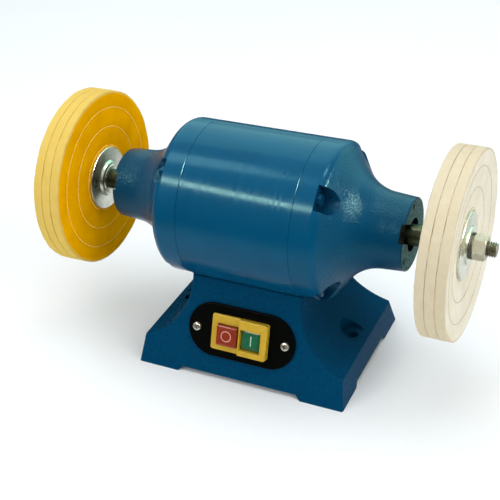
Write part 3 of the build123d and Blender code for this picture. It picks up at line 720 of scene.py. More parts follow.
SLOT_FINISHES: dict[str, Finish] = {
    # Brushed-on enamel over coarse sand casting: a broken, grainy gloss on a deep blue
    "pedestal_paint": Finish(
        "enamel_over_sand_cast_iron", "#034464", "#02395A", 2.4, (0.2, 0.32), 1.7, 0.55, gloss=0.01
    ),
    # The same enamel over finer castings: a speckled highlight where the flare turns to the light
    "motor_paint": BellEnamel(
        "enamel_over_fine_cast_iron", "#024B6E", "#024566", 26.0, (0.17, 0.2), 1.8, 0.56, gloss=0.25
    ),
    # Hot-dip galvanised steel sheet: large faint spangles, satin grey
    "galvanised_sheet": Metal(
        "galvanised_sheet_steel", "#A9B0B2", "#8E979A", 9.0, (0.34, 0.5), 3.0, 0.01, Marks.LAY
    ),
    # Zinc plate under a milky passivated film: silvery and soft, with a faint olive tinge
    "zinc_fasteners": Finish(
        "passivated_zinc_plated_steel", "#C4C4B2", "#B2B29F", 5.0, (0.4, 0.55), 1.8, 0.01, metallic=0.4
    ),
    # Bright zinc plate over turned steel: light and dark sectors fan out from the hub
    "zinc_flange": Metal(
        "bright_zinc_plated_turned_steel", "#E6ECDE", "#D6DCCE", 9.0, (0.24, 0.34), 2.2, 0.005, Marks.RINGS
    ),
    # Oiled carbon steel with a brown tinge: dark, with bright glints on edges
    "spindle_steel": Metal(
        "oiled_carbon_steel", "#565C46", "#3E4232", 7.0, (0.36, 0.5), 2.0, 0.01, Marks.RINGS
    ),
    # Tempered spring steel: a dull dark grey with a soft shine
    "spring_steel": Metal("tempered_spring_steel", "#6C6F68", "#53564F", 4.0, (0.3, 0.45), 1.5, 0.01),
    # Ground bearing steel: bright and even
    "bearing_steel": Metal(
        "ground_bearing_steel", "#C2C6C8", "#AEB3B6", 6.0, (0.12, 0.2), 1.6, 0.004, Marks.RINGS
    ),
    # Pressed brass: warm, slightly tarnished
    "cage_brass": Metal("pressed_cage_brass", "#B8964A", "#94773A", 5.0, (0.28, 0.42), 1.6, 0.01),
    # Stacked electrical sheet: a grey block with the edges of its sheets showing
    "lamination_steel": Metal(
        "stacked_lamination_steel", "#6C7277", "#53595E", 8.0, (0.4, 0.55), 2.0, 0.06, Marks.STACK
    ),
    # Varnished copper wire: rows of round, red-brown turns with a gloss
    "copper_winding": Metal(
        "varnished_copper_wire", "#9A4E24", "#74371A", 6.0, (0.22, 0.36), 2.2, 0.25, Marks.RINGS,
        metallic=0.6,
    ),
    # Die-cast aluminium: pale grey with a faint flow pattern
    "cast_aluminium": Metal("die_cast_aluminium", "#B9BCBE", "#A2A6A9", 8.0, (0.36, 0.5), 2.6, 0.03),
    # Black phenolic sheet: dark and dull, with a faint moulded grain
    "switch_plate": Finish(
        "black_phenolic_sheet", "#050806", "#030504", 12.0, (0.36, 0.5), 1.6, 0.02, gloss=0.05
    ),
    # Moulded yellow ABS: warm yellow with soft moulded edges that shine
    "switch_frame": Finish("moulded_yellow_abs", "#D2AA2C", "#C8A024", 10.0, (0.24, 0.34), 1.8, 0.012),
    # Black phenolic moulding of the switch's works behind the panel: dark, with a soft shine
    "switch_body": Finish("moulded_black_phenolic", "#15171A", "#0E1012", 9.0, (0.36, 0.5), 1.6, 0.02),
    # Moulded red polycarbonate: a deep, slightly cloudy red
    "stop_red": Finish(
        "moulded_red_polycarbonate", "#953217", "#8A2C14", 8.0, (0.14, 0.22), 1.8, 0.012, gloss=0.9
    ),
    # Moulded green polycarbonate: a deep bluish green that shows light along its upper edge
    "start_green": Finish(
        "moulded_green_polycarbonate", "#226D48", "#1B5E3E", 8.0, (0.12, 0.2), 1.8, 0.012, gloss=0.9
    ),
    # Stamped brass tabs: bright yellow metal
    "brass_terminals": Metal(
        "stamped_brass_tab", "#C8A758", "#B2914A", 5.0, (0.22, 0.34), 1.6, 0.01, Marks.LAY
    ),
    # Drawn aluminium can in a grey sleeve: satin and even
    "capacitor_can": Metal(
        "drawn_aluminium_can", "#AEB2B5", "#9DA2A6", 10.0, (0.3, 0.42), 2.0, 0.01, Marks.LAY
    ),
    # Moulded natural nylon of the terminal block: milky and waxy
    "terminal_block": Finish("moulded_natural_nylon", "#D9D3C2", "#CBC4B1", 8.0, (0.38, 0.5), 1.8, 0.015),
    # Extruded PVC sleeving on the motor's leads: soft black
    "lead_insulation": Finish("extruded_black_pvc", "#1A1B1D", "#101113", 8.0, (0.4, 0.52), 2.0, 0.02),
    # Moulded black nylon of the cable gland: satin with a fine spark-eroded grain, drawn coarser to show
    "gland_nylon": Finish("moulded_black_nylon", "#17181A", "#0F1011", 8.0, (0.4, 0.52), 1.4, 0.02),
    # Treated yellow cotton: saturated orange faces and a paler, worn rim; threads about 0.6 mm apart,
    # drawn three times coarser to show
    "yellow_buff": Cotton(
        "treated_yellow_cotton", "#FFB400", "#F6A900", 18.0, (0.9, 0.98), 1.8, 0.08, gloss=0.0,
        rim="#E4C670", rim_patches="#DCB654",
    ),
    # Bleached cotton: warm white all over; threads drawn three times coarser to show
    "white_buff": Cotton(
        "bleached_white_cotton", "#EEE6D4", "#E6DCC6", 18.0, (0.9, 0.98), 1.8, 0.08, gloss=0.0,
        rim="#DED0B6", rim_patches="#D2C2A0",
    ),
}


@functools.cache
def material_of(finish: Finish) -> bpy.types.Material:
    """The finish's material, made once."""
    return finish.build()


def dress(piece: Piece, finish: Finish) -> Piece:
    """Puts one finish over the whole of a piece.

    Args:
        piece: A new piece or a CAD node.
        finish: What it wears.

    Returns:
        The piece.
    """
    if not piece.material_slots:
        piece.data.materials.append(None)
    for slot in piece.material_slots:
        slot.material = material_of(finish)
    return piece


def fit(piece: Piece, body: str, slot: str, *stands_for: str, finish: Finish | None = None) -> Piece:
    """Dresses a finished piece and fixes it to the body that carries it.

    Args:
        piece: The finished piece.
        body: The CAD body that it moves with.
        slot: The record's material slot that it takes its finish from.
        stands_for: CAD nodes that it is shown in place of.
        finish: What it wears, where that isn't the slot's own finish.

    Returns:
        The piece.
    """
    dress(piece, finish or SLOT_FINISHES[slot])
    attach(piece, body)
    if stands_for:
        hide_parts(*stands_for)
    return piece


def softened(node: str, made: str, body: str, slot: str, width: float) -> Piece:
    """Puts a copy with rounded edges in place of a CAD node.

    Args:
        node: The CAD node.
        made: How it was made, which ends the copy's name.
        body: The CAD body that it moves with.
        slot: Its material slot.
        width: Reach of the rounding.

    Returns:
        The finished copy.
    """
    piece = node_copy(node, f"{node}_{made}")
    soften(piece, width)
    return fit(piece, body, slot, node)


# Sub-assemblies


@dataclass
class Housing:
    """The painted castings, which keep their CAD shapes: pedestal, barrel and end bells."""

    coats: ClassVar[dict[str, Finish]] = {
        "base_casting": SLOT_FINISHES["pedestal_paint"],
        "motor_barrel": BARREL_ENAMEL,
        "left_end_bell": SLOT_FINISHES["motor_paint"],
        "right_end_bell": SLOT_FINISHES["motor_paint"],
    }

    def dress(self) -> list[Piece]:
        """Paints the castings, which it returns."""
        return [dress(frame["nodes"][node], coat) for node, coat in self.coats.items()]


@dataclass
class InnerWorks:
    """Every other node that keeps its CAD shape, finished by its material slot."""

    def dress(self) -> list[Piece]:
        """Dresses the nodes that the housing leaves, and returns them."""
        rows = [row for row in frame["record"]["subparts"] if row["node"] not in Housing.coats]
        return [dress(frame["nodes"][row["node"]], SLOT_FINISHES[row["material_slot"]]) for row in rows]


@dataclass
class Buff:
    """One sewn cotton buff: three sections of plies, and rows of stitches on its two outer faces."""

    side: Side
    slot: str
    cord: Finish  # what its stitches wear
    bore: float = 6.1
    flange_radius: float = 27.0  # where the clamping flanges stop holding it flat
    stitch_rows: Point = (28.4, 44.7, 61.2)  # radii of the sewn rows
    fluff: float = 0.36  # how far the loose cloth at a rim spreads over each neighbour's side
    shoulder: float = 0.52  # rounding of each section's rim
    plies: int = 7  # plies that show in each rim
    ply_depth: float = 0.15
    puff: float = 0.5  # how far the outer faces swell between sewn rows
    puff_row: float = 12.0  # distance between rows that lets them swell that far
    puff_power: float = 0.6  # below 1, for a swelling that rises steeply from its rows
    face_step: float = 1.6  # distance between points of a face's outline
    fray: float = 0.7  # how uneven the rim is
    fray_from: float = 60.0  # radius where the cloth begins to be looser than near the flanges
    fray_least: float = 0.15  # share of the fray near the flanges
    fray_waves: tuple[Pair, Pair] = ((14.0, 1.0), (3.5, 0.5))  # each wave's size and share of the fray
    stitch: float = 4.8  # length of a stitch
    flat: float = 0.84  # share of a stitch that lies on the cloth
    dip: float = 1.2  # how deep its ends go in, in radii of the cord
    pitch: float = 4.9  # distance from stitch to stitch
    cord_radius: float = 0.45
    facets: int = 192

    def nodes(self) -> list[str]:
        """The CAD nodes of the three sections, from the inside out."""
        return [f"{self.side.label}_buff_section_{number}" for number in (1, 2, 3)]

    @functools.cached_property
    def rim_radius(self) -> float:
        """The buff's radius."""
        low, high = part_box(self.nodes()[0])
        return (high.z - low.z) / 2 / MM

    @functools.cached_property
    def held(self) -> tuple[float, ...]:
        """Radii where the cloth is held flat, from the flanges to the rim."""
        return self.flange_radius, *self.stitch_rows, self.rim_radius - self.shoulder

    def limits(self, index: int) -> tuple[float, float, float, float]:
        """Where one section lies along the spindle.

        Args:
            index: The section, from the inside out.

        Returns:
            Its hub's near and far faces, then its rim's.
        """
        hub = span(f"{self.side.label}_inner_flange")[1]
        depth = (span(f"{self.side.label}_outer_flange")[0] - hub) / 3
        near, far = span(self.nodes()[0])
        rim = span(self.nodes()[index])[1]
        rim_near = rim - (far - near) - self.fluff * (index > 0)
        return hub + index * depth, hub + (index + 1) * depth, rim_near, rim + self.fluff * (index < 2)

    def swell(self, radius: float) -> float:
        """How far an outer face stands out between its sewn rows.

        Args:
            radius: Distance from the spindle.

        Returns:
            The swelling, none on a sewn row.
        """
        for near, far in zip(self.held, self.held[1:]):
            if near <= radius <= far:
                fullness = self.puff * min(1.0, (far - near) / self.puff_row)
                arch = max(0.0, math.sin(math.pi * (radius - near) / (far - near)))
                return fullness * arch**self.puff_power
        return 0.0

    def face(self, radius: float, hub: float, rim: float, out: int) -> float:
        """Where a section's face is along the spindle.

        Args:
            radius: Distance from the spindle.
            hub: The face at the flanges.
            rim: The face at the rim.
            out: -1 or 1 for an outer face that looks in or out, 0 for one between two sections.

        Returns:
            The face's x.
        """
        reach = self.rim_radius - self.shoulder - self.flange_radius
        share = min(1.0, max(0.0, (radius - self.flange_radius) / reach))
        return hub + (rim - hub) * share + out * self.swell(radius)

    def outline(self, index: int) -> list[Vector]:
        """Draws the section's turned outline, quilted on an outer face and ridged at the rim.

        Args:
            index: The section, from the inside out.

        Returns:
            The outline's points in metres, with the first repeated at the end.
        """
        hub_near, hub_far, rim_near, rim_far = self.limits(index)
        radii = [self.flange_radius]
        for near, far in zip(self.held, self.held[1:]):
            count = max(2, round((far - near) / self.face_step))
            radii += [near + (far - near) * step / count for step in range(1, count + 1)]
        inward, outward = (-1 if index == 0 else 0), (1 if index == 2 else 0)
        points = [(hub_near, self.bore)]
        points += [(self.face(radius, hub_near, rim_near, inward), radius) for radius in radii]
        width, half = rim_far - rim_near, (rim_far - rim_near) / 2
        for step in range(1, 2 * self.plies):
            along = width * step / (2 * self.plies)
            past = max(0.0, abs(along - half) - (half - self.shoulder)) / self.shoulder
            drop = self.shoulder * (1 - math.sqrt(max(0.0, 1 - past * past)))
            groove = self.ply_depth if step % 2 == 0 else 0.0
            points.append((rim_near + along, self.rim_radius - drop - groove))
        points += [(self.face(radius, hub_far, rim_far, outward), radius) for radius in reversed(radii)]
        points += [(hub_far, self.bore), (hub_near, self.bore)]
        return [Vector(point) * MM for point in points]

    def section(self, index: int) -> Piece:
        """Makes one section, with its rim frayed and its cloth not quite flat.

        Args:
            index: The section, from the inside out.

        Returns:
            The finished section.
        """
        node = self.nodes()[index]
        piece = lathe(f"{node}_cloth", self.outline(index), self.facets, self.side.place)
        loose = piece.vertex_groups.new(name="loose")
        frayed = self.rim_radius - 1 - self.fray_from
        for vertex in piece.data.vertices:
            radius = math.hypot(vertex.co.y, vertex.co.z - AXIS_HEIGHT) / MM
            share = min(1.0, max(self.fray_least, (radius - self.fray_from) / frayed))
            loose.add([vertex.index], share if radius > self.flange_radius + 1 else 0.0, "REPLACE")
        for size, share in self.fray_waves:
            clouds = bpy.data.textures.new(f"{node}_fray_{size:g}", "CLOUDS")
            clouds.noise_scale = size * MM
            refine(
                piece, "DISPLACE", texture=clouds, texture_coords="LOCAL", vertex_group="loose",
                strength=share * self.fray * MM, mid_level=0.5,
            )
        smooth(piece, 50)
        return fit(piece, "rotor", self.slot, node)

    def stitch_row(self, radius: float, out: int) -> Piece:
        """Sews one row: a stitch is modelled once, dipping into the cloth at its ends, and copied round.

        Args:
            radius: The row's radius.
            out: -1 for the face that looks in, 1 for the face that looks out.

        Returns:
            The row.
        """
        hub, rim = self.limits(0)[::2] if out < 0 else self.limits(2)[1::2]
        piece = begin(
            "stitch_row", bpy.ops.mesh.primitive_cylinder_add, vertices=6, radius=self.cord_radius * MM,
            depth=self.stitch * MM, location=(self.face(radius, hub, rim, 0) * MM, 0, radius * MM),
            rotation=(TURN / 4, 0, 0),
        )
        bpy.ops.object.transform_apply(location=True, rotation=True, scale=True)
        count = round(TURN * radius / self.pitch)
        with editing(piece):
            bend = self.flat / 2 * self.stitch * MM
            for y in (-bend, 0, bend):
                cut((0, y, 0), (0, 1, 0))
            pick(piece, lambda point: abs(point.y) > bend + LEVEL)
            bpy.ops.transform.translate(value=(-out * self.dip * self.cord_radius * MM, 0, 0))
            bpy.ops.mesh.select_all(action="SELECT")
            turn = TURN * (count - 1) / count
            bpy.ops.mesh.spin(steps=count - 1, dupli=True, angle=turn, center=(0, 0, 0), axis=ACROSS)
        set_down(piece, self.side.place)
        return piece

    def stitching(self) -> Piece:
        """Sews all rows on both outer faces into one piece.

        Returns:
            The stitching.
        """
        rows = [self.stitch_row(radius, out) for out in (-1, 1) for radius in self.stitch_rows]
        alone(*rows)
        bpy.ops.object.join()
        rows[0].name = rows[0].data.name = f"{self.side.label}_buff_stitching"
        smooth(rows[0], 70)
        return fit(rows[0], "rotor", self.slot, finish=self.cord)

    def build(self) -> list[Piece]:
        """Makes the three sections and the stitching."""
        return [self.section(index) for index in range(3)] + [self.stitching()]


@dataclass
class Clamp:
    """The plated parts that hold a buff on the spindle: two flanges, a spring washer and a nut."""

    side: Side
    radius: float = 27.0  # of both flanges
    disc: float = 2.9  # thickness of both flanges
    rise: float = 0.8  # how far both flanges thin towards their edges
    hub: float = 15.0  # radius of the flanges' raised hubs
    land: Pair = (0.8, 3.0)  # height of the inner hub's land, and how much narrower it is than the hub
    bore: float = 6.05
    facets: int = 96
    washer_edge: float = 0.3
    nut_edge: float = 0.35

    def flange(self, node: str, corners: Sequence[Point]) -> Piece:
        """Turns a flange in place of its CAD node.

        Args:
            node: The CAD node.
            corners: The corners of its outline, with their rounding.

        Returns:
            The finished flange.
        """
        piece = lathe(f"{node}_turned", rounded(corners), self.facets, self.side.place)
        smooth(piece, 40)
        return fit(piece, "rotor", "zinc_flange", node)

    def build(self) -> list[Piece]:
        """Makes the clamp's parts.

        Returns:
            The flange at the spindle's shoulder, the one under the nut, the spring washer and the nut.
        """
        names = ("inner_flange", "outer_flange", "spring_washer", "spindle_nut")
        inner, outer, washer, nut = (f"{self.side.label}_{name}" for name in names)
        near, far = span(inner)
        height, inset = self.land
        at_shoulder = [
            (near, self.bore, 0), (near, self.hub - inset, 0.3),
            (near + height, self.hub - 0.8 * inset, 0.3), (near + height, self.hub, 0.5),
            (far - self.disc, self.hub, 1.2),
            (far - self.disc + self.rise, self.radius, 0.7), (far, self.radius, 0.5), (far, self.bore, 0),
        ]
        near, far = span(outer)
        under_nut = [
            (near, self.bore, 0), (near, self.radius, 0.5),
            (near + self.disc - self.rise, self.radius, 0.7), (near + self.disc, self.hub, 1.0),
            (far, self.hub, 0.5), (far, self.bore, 0),
        ]
        return [
            self.flange(inner, at_shoulder),
            self.flange(outer, under_nut),
            softened(washer, "plated", "rotor", "spring_steel", self.washer_edge),
            softened(nut, "plated", "rotor", "zinc_fasteners", self.nut_edge),
        ]


@dataclass
class Spindle:
    """The spindle, with its screw threads cut: right-handed on the right, left-handed on the left."""

    core_radius: float = 11.0  # inside the rotor
    core_half: float = 36.0  # half the length of that part
    seat_radius: float = 8.5  # at the bearings, as far as the inner flanges
    shoulder_radius: float = 10.5  # beside the bearings
    shoulder_at: float = 88.0  # where the bearings stand against the shoulders
    crest: float = 6.0  # outer radius of the thread
    root: float = 4.9  # inner radius of the thread
    pitch: float = 1.75
    run_out: int = 2  # turns that the thread is cut past both its ends, before it is trimmed
    chamfer: float = 1.0  # bevel of the ends
    facets: int = 64
    thread_facets: int = 32

    def shaft(self) -> Piece:
        """Turns the spindle between its threads.

        Returns:
            The finished shaft.
        """
        stop = span("right_inner_flange")[0]
        half = [
            (self.core_half, self.core_radius, 0.4), (self.core_half, self.shoulder_radius, 0),
            (self.shoulder_at, self.shoulder_radius, 0.4), (self.shoulder_at, self.seat_radius, 0),
            (stop, self.seat_radius, 0.5), (stop, self.root, 0), (stop + 1, self.root, 0), (stop + 1, 0, 0),
        ]
        corners = [(-x, radius, bend) for x, radius, bend in reversed(half)] + half
        piece = lathe("spindle_shaft", rounded(corners, closed=False), self.facets, SPINDLE)
        smooth(piece, 30)
        return fit(piece, "rotor", "spindle_steel", "spindle")

    def thread(self, side: Side) -> Piece:
        """Cuts one threaded end with a screwed ridge, trimmed to the bevelled end of the bar.

        Args:
            side: The end of the spindle.

        Returns:
            The finished thread.
        """
        start, end = span("right_inner_flange")[0], span("spindle")[1]
        first = start - self.run_out * self.pitch
        root, crest = self.root, self.crest
        ridge = [(0, root), (0.25, root), (0.56, crest), (0.69, crest), (1.0, root)]
        outline = [Vector((first + share * self.pitch, radius)) * MM for share, radius in ridge]
        piece = wire(f"spindle_{side.label}_thread", outline)
        turns = math.ceil((end - start) / self.pitch) + 2 * self.run_out
        refine(
            piece, "SCREW", axis="X", angle=TURN, screw_offset=self.pitch * MM, iterations=turns,
            steps=self.thread_facets, render_steps=self.thread_facets, use_merge_vertices=True,
            merge_threshold=MERGE,
        )
        with editing(piece):
            bpy.ops.mesh.remove_doubles(threshold=MERGE)
            cut((start * MM, 0, 0), ACROSS, use_fill=True, clear_inner=True)
            cut((end * MM, 0, 0), ACROSS, use_fill=True, clear_outer=True)
            bpy.ops.mesh.select_all(action="SELECT")
            bpy.ops.mesh.normals_make_consistent(inside=False)
        bar = [
            (start - 1, 0, 0), (start - 1, crest + 1, 0), (end - self.chamfer - 1, crest + 1, 0),
            (end, crest - self.chamfer, 0), (end, 0, 0),
        ]
        blank = lathe("thread_blank", rounded(bar, closed=False), self.thread_facets, Matrix())
        refine(piece, "BOOLEAN", operation="INTERSECT", object=blank, solver="EXACT")
        bpy.data.objects.remove(blank)
        set_down(piece, side.place)
        smooth(piece, 25)
        return fit(piece, "rotor", "spindle_steel", finish=CUT_STEEL)

    def build(self) -> list[Piece]:
        """Makes the shaft and both threads."""
        return [self.shaft(), *(self.thread(side) for side in Side)]


@dataclass
class Switch:
    """The push-button switch on the sloping front: plate, frame, two buttons, symbols and screws."""

    plate_edge: float = 0.5
    frame_edge: float = 1.0
    button_edge: float = 0.6
    dish: float = 0.3  # depth of the stop button's hollow face
    crown: float = 0.55  # height of the start button's raised face
    rim: float = 1.6  # width of the slope round both faces
    ring_radius: float = 4.3  # middle radius of the stop symbol
    bar: float = 8.6  # length of the start symbol
    stroke: float = 0.8  # width of both symbols' lines
    ring_facets: int = 64
    ink: float = 0.08  # thickness of the print
    ink_edge: float = 0.05
    head_radius: float = 3.6  # of the plate screws
    head: float = 2.4  # height of the plate screws' heads
    head_facets: int = 40
    shank: Pair = (6.0, 1.9)  # length and radius of the plate screws' shanks
    recess: Point = (2.3, 2.3, 6.12)  # depth, width and length of the wings of the heads' crosses
    recess_taper: Point = (1, 0.15, 0.6)  # how the wings narrow towards the bottom
    turns: Pair = (0.4, 0.9)  # how far the first screw's cross is turned, and the second's from there
    window: Pair = (18.1, 18.6)  # height and width of the start button's window
    lip: float = 0.8  # width of the raised lip round that window
    lip_edge: float = 0.3

    def window_lip(self) -> Piece:
        """Makes the raised lip round the start button's window.

        Returns:
            The finished lip.
        """
        tall, wide = ((size + 2 * self.lip) * MM for size in self.window)
        lip = self.lip * MM
        piece = begin("switch_window_lip", bpy.ops.mesh.primitive_plane_add, size=1)
        with editing(piece):
            bpy.ops.transform.resize(value=(tall, wide, 1))
            bpy.ops.mesh.bevel(offset=2 * lip, segments=5, affect="VERTICES")
            bpy.ops.mesh.select_all(action="SELECT")
            bpy.ops.mesh.inset(thickness=lip)
            bpy.ops.mesh.delete(type="FACE")
            bpy.ops.mesh.select_all(action="SELECT")
            bpy.ops.mesh.extrude_region_move(TRANSFORM_OT_translate={"value": (0, 0, 2 * lip)})
        face, window = face_middle("switch_frame"), face_middle("on_button")
        foot = window + OUTWARD * ((face - window).dot(OUTWARD) - 1.5 * lip)
        set_down(piece, on_front(foot) @ Matrix.Rotation(TURN / 4, 4, "Y"))
        soften(piece, self.lip_edge)
        return fit(piece, "frame", "switch_frame")

    def button(self, node: str, slot: str, rise: float) -> Piece:
        """Copies a button with its face raised or hollowed and its edges rounded.

        Args:
            node: The CAD node, which is named as its body.
            slot: Its material slot.
            rise: How far the face stands above its edges, or below them if it is negative.

        Returns:
            The finished button.
        """
        piece = node_copy(node, f"{node}_moulded")
        front = face_middle(node).dot(OUTWARD) - LEVEL
        with editing(piece):
            pick(piece, lambda point: point.dot(OUTWARD) > front)
            bpy.ops.mesh.inset(thickness=self.rim * MM)
            bpy.ops.transform.translate(value=OUTWARD * rise * MM)
        refine(
            piece, "BEVEL", width=self.button_edge * MM, segments=3, limit_method="ANGLE",
            angle_limit=math.radians(8), use_clamp_overlap=True,
        )
        smooth(piece, 40)
        return fit(piece, node, slot, node)

    def stop_symbol(self) -> Piece:
        """Prints the ring on the red button.

        Returns:
            The finished ring.
        """
        inner, outer = self.ring_radius - self.stroke / 2, self.ring_radius + self.stroke / 2
        corners = [
            (-self.ink, inner, 0), (self.ink, inner, self.ink_edge), (self.ink, outer, self.ink_edge),
            (-self.ink, outer, 0),
        ]
        level = face_middle("off_button") + INWARD * self.dish * MM
        piece = lathe("stop_symbol", rounded(corners, steps=2), self.ring_facets, on_front(level))
        smooth(piece, 40)
        return fit(piece, "off_button", "stop_red", finish=STOP_INK)

    def start_symbol(self) -> Piece:
        """Prints the bar on the green button.

        Returns:
            The finished bar.
        """
        piece = begin("start_symbol", bpy.ops.mesh.primitive_cube_add, size=1)
        with editing(piece):
            bpy.ops.transform.resize(value=(2 * self.ink * MM, self.stroke * MM, self.bar * MM))
        refine(piece, "BEVEL", width=self.ink_edge * MM, segments=2, use_clamp_overlap=True)
        set_down(piece, on_front(face_middle("on_button") + OUTWARD * self.crown * MM))
        smooth(piece, 40)
        return fit(piece, "on_button", "start_green", finish=START_INK)

    def screws(self) -> Piece:
        """Makes one pan head with a cross recess, and its copy, in place of the plate's screws.

        Returns:
            Both screws as one piece.
        """
        radius, head, (length, shank) = self.head_radius, self.head, self.shank
        corners = [
            (-length, 0, 0), (-length, shank, 0), (0, shank, 0), (0, radius, 0), (0.72 * head, radius, 0.7),
            (head, 0.5 * radius, 1.2), (head, 0, 0),
        ]
        outline = rounded(corners, closed=False)
        first = lathe("switch_plate_screws_pan", outline, self.head_facets, Matrix())
        (deep, wide, long), (turn, next_turn) = self.recess, self.turns
        for quarter in (0.0, TURN / 4):
            wing = begin("recess_wing", bpy.ops.mesh.primitive_cube_add, size=1)
            with editing(wing):
                bpy.ops.transform.resize(value=(2 * deep * MM, wide * MM, long * MM))
                pick(wing, lambda point: point.x < 0)
                bpy.ops.transform.resize(value=self.recess_taper)
            set_down(wing, Matrix.Translation((head * MM, 0, 0)) @ Matrix.Rotation(quarter + turn, 4, "X"))
            refine(first, "BOOLEAN", operation="DIFFERENCE", object=wing, solver="EXACT")
            bpy.data.objects.remove(wing)
        second = bpy.data.objects.new("second_screw", first.data.copy())
        bpy.context.scene.collection.objects.link(second)
        low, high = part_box("switch_plate_screws")
        middle = face_middle("switch_plate_screws") + INWARD * head * MM
        reach = (high.x - low.x) / 2 - radius * MM
        set_down(first, on_front(middle - ACROSS * reach))
        set_down(second, on_front(middle + ACROSS * reach) @ Matrix.Rotation(next_turn, 4, "X"))
        alone(first, second)
        bpy.ops.object.join()
        smooth(first, 35)
        return fit(first, "frame", "zinc_fasteners", "switch_plate_screws", finish=SCREW_ZINC)

    def build(self) -> list[Piece]:
        """Makes the switch.

        Returns:
            Its pieces.
        """
        return [
            softened("switch_plate", "moulded", "frame", "switch_plate", self.plate_edge),
            softened("switch_frame", "moulded", "frame", "switch_frame", self.frame_edge),
            self.window_lip(),
            self.button("off_button", "stop_red", -self.dish),
            self.button("on_button", "start_green", self.crown),
            self.stop_symbol(),
            self.start_symbol(),
            self.screws(),
        ]


@dataclass
class Gland:
    """The cable gland on the back: a hexagonal body and a cap, with moulded edges."""

    edge: float = 0.5

    def build(self) -> list[Piece]:
        """Makes the body and the cap."""
        nodes = ("cable_gland", "gland_cap")
        return [softened(node, "moulded", "frame", "gland_nylon", self.edge) for node in nodes]


@dataclass(frozen=True)
class Lamp:
    """A soft rectangular lamp, in metres and watts."""

    name: str
    place: Point
    aim: Point
    size: Pair
    power: float
    throw: Throw
    tint: str = "#FFFFFF"

    def hang(self) -> Piece:
        """Hangs the lamp.

        Returns:
            The lamp.
        """
        bpy.ops.object.light_add(type="AREA", location=self.place)
        lamp = bpy.context.object
        lamp.name = self.name
        lamp.rotation_euler = (Vector(self.aim) - Vector(self.place)).to_track_quat("-Z", "Y").to_euler()
        lamp.data.shape = "RECTANGLE"
        lamp.data.size, lamp.data.size_y = self.size
        lamp.data.energy = self.power
        lamp.data.color = linear(self.tint)[:3]
        lamp.visible_diffuse = self.throw is Throw.FILL
        lamp.visible_glossy = self.throw is Throw.SHINE
        return lamp


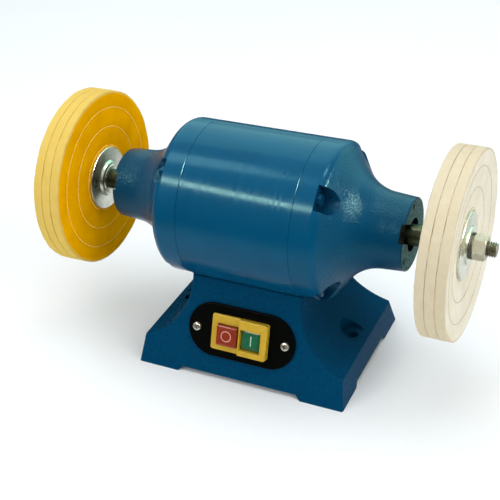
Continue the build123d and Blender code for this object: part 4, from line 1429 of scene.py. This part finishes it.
@dataclass
class Studio:
    """A plain pale floor, soft light from above and the camera at the photograph's angle."""

    azimuth: float = 26.31  # camera's turn to the right of the front, in degrees
    elevation: float = 32.34  # camera's height above the horizon, in degrees
    roll: float = -3.25  # camera's tilt, in degrees
    distance: float = 908.75  # from the camera to its target
    target: Point = (-14.89, 0.0, 89.88)
    lens: float = 77.54
    sensor: float = 36.0
    floor_size: float = 12.0  # in metres
    backdrop_size: Pair = (5.5, 5.0)  # its radius and height in metres
    sky_strength: float = 0.9
    # Shades of the sky from straight down at 0 to straight up at 1
    sky_shades: tuple[tuple[float, str], ...] = (
        (0.0, "#989898"), (0.16, "#FFFFFF"), (0.27, "#FFFFFF"), (0.39, "#2C2E30"), (0.56, "#3C3E40"),
        (0.95, "#EEF4F4"),
    )
    lamps: tuple[Lamp, ...] = (
        Lamp("back_softbox", (-0.6, 1.7, 1.65), (0, 0, 0.13), (2.8, 2.1), 34, Throw.SHINE, "#A8F0E0"),
        Lamp("back_panel", (1.4, 1.5, 0.7), (0.08, 0, 0.17), (1.7, 1.6), 16, Throw.SHINE, "#A8F0E0"),
        Lamp("back_low", (-0.3, 2.0, 0.42), (0, 0, 0.2), (2.8, 0.7), 5, Throw.SHINE, "#A8F0E0"),
        Lamp(
            "front_strip", (-0.72, -1.15, 1.2), (-0.02, -0.05, 0.17), (0.66, 0.16), 12, Throw.SHINE,
            "#FFDCC8",
        ),
        Lamp("left_panel", (-1.05, -0.35, 1.9), (0, 0, 0.15), (0.45, 0.8), 6, Throw.SHINE),
        Lamp("right_panel", (1.4, -0.08, 1.0), (0.09, 0, 0.17), (0.5, 0.3), 62, Throw.SHINE, "#FFE4D4"),
        Lamp("top_spot", (0.2, 0.2, 1.9), (0.07, 0, 0.2), (0.35, 0.35), 7, Throw.SHINE),
        Lamp("back_fill", (-0.6, 1.7, 1.65), (0, 0, 0.13), (2.8, 2.1), 16, Throw.FILL, "#E8F5FF"),
        Lamp("ceiling_fill", (-0.1, 0.15, 1.8), (0, 0, 0), (1.6, 1.6), 19, Throw.FILL, "#EEF8FF"),
        Lamp("front_fill", (-1.2, -1.9, 0.9), (0, 0, 0.1), (1.4, 1.4), 16, Throw.FILL),
        Lamp("right_fill", (2.0, -0.5, 1.3), (0.1, 0, 0.14), (1.4, 1.4), 20, Throw.FILL),
    )

    def floor(self) -> Piece:
        """Lays the floor.

        Returns:
            The floor.
        """
        floor = begin("studio_floor", bpy.ops.mesh.primitive_plane_add, size=self.floor_size)
        floor.visible_glossy = False
        dress(floor, PAPER)
        return floor

    def backdrop(self) -> Piece:
        """Stands a pale round backdrop far off, which the camera sees and the light passes.

        Returns:
            The backdrop.
        """
        radius, height = self.backdrop_size
        backdrop = begin("studio_backdrop", bpy.ops.mesh.primitive_circle_add, vertices=96, radius=radius)
        with editing(backdrop):
            bpy.ops.mesh.extrude_region_move(TRANSFORM_OT_translate={"value": (0, 0, height)})
            bpy.ops.mesh.select_all(action="SELECT")
            bpy.ops.mesh.normals_make_consistent(inside=True)
        smooth(backdrop, 35)
        backdrop.visible_diffuse = backdrop.visible_glossy = backdrop.visible_shadow = False
        dress(backdrop, PAPER)
        return backdrop

    def camera(self) -> Piece:
        """Sets up the camera.

        Returns:
            The camera.
        """
        place = Matrix.Translation(Vector(self.target) * MM)
        for angle, axis in ((self.azimuth, "Z"), (90 - self.elevation, "X"), (self.roll, "Z")):
            place @= Matrix.Rotation(math.radians(angle), 4, axis)
        bpy.ops.object.camera_add()
        camera = bpy.context.object
        camera.matrix_world = place @ Matrix.Translation((0, 0, self.distance * MM))
        camera.data.lens = self.lens
        camera.data.sensor_width = self.sensor
        camera.data.sensor_fit = "HORIZONTAL"
        bpy.context.scene.camera = camera
        return camera

    def sky(self) -> None:
        """Surrounds the studio with soft light that fades towards the horizon."""
        world = bpy.data.worlds.new("studio")
        nodes = Nodes(world, "Background", "Generated")
        height = nodes.add("SeparateXYZ", {0: nodes.place}, "Z")
        rise = nodes.add("MapRange", {"Value": height, "From Min": -1.0, "From Max": 1.0})
        light = nodes.add("ValToRGB", {0: rise})
        stops = light.node.color_ramp.elements
        for _ in self.sky_shades[2:]:
            stops.new(1.0)
        for stop, (position, shade) in zip(stops, self.sky_shades):
            stop.position = position
            stop.color = linear(shade)
        nodes.fill(nodes.shader, {"Color": light, "Strength": self.sky_strength})
        bpy.context.scene.world = world

    def build(self) -> list[Piece]:
        """Sets up the floor, the lights and the camera.

        Returns:
            What was set up.
        """
        bpy.context.scene.view_settings.view_transform = "Standard"
        self.sky()
        return [self.floor(), self.backdrop(), *(lamp.hang() for lamp in self.lamps), self.camera()]


def main() -> None:
    """Builds each assembly in order and reports every piece."""
    logging.basicConfig(level=logging.INFO, format="%(name)s: %(message)s")
    built = [
        ("housing", Housing().dress()),
        ("inner works", InnerWorks().dress()),
        ("left buff", Buff(Side.LEFT, "yellow_buff", PALE_CORD).build()),
        ("right buff", Buff(Side.RIGHT, "white_buff", FAWN_CORD).build()),
        ("left clamp", Clamp(Side.LEFT).build()),
        ("right clamp", Clamp(Side.RIGHT).build()),
        ("spindle", Spindle().build()),
        ("switch", Switch().build()),
        ("gland", Gland().build()),
        ("studio", Studio().build()),
    ]
    for assembly, pieces in built:
        for piece in pieces:
            log.info("%s: %s", assembly, piece.name)


if __name__ == "__main__":
    main()
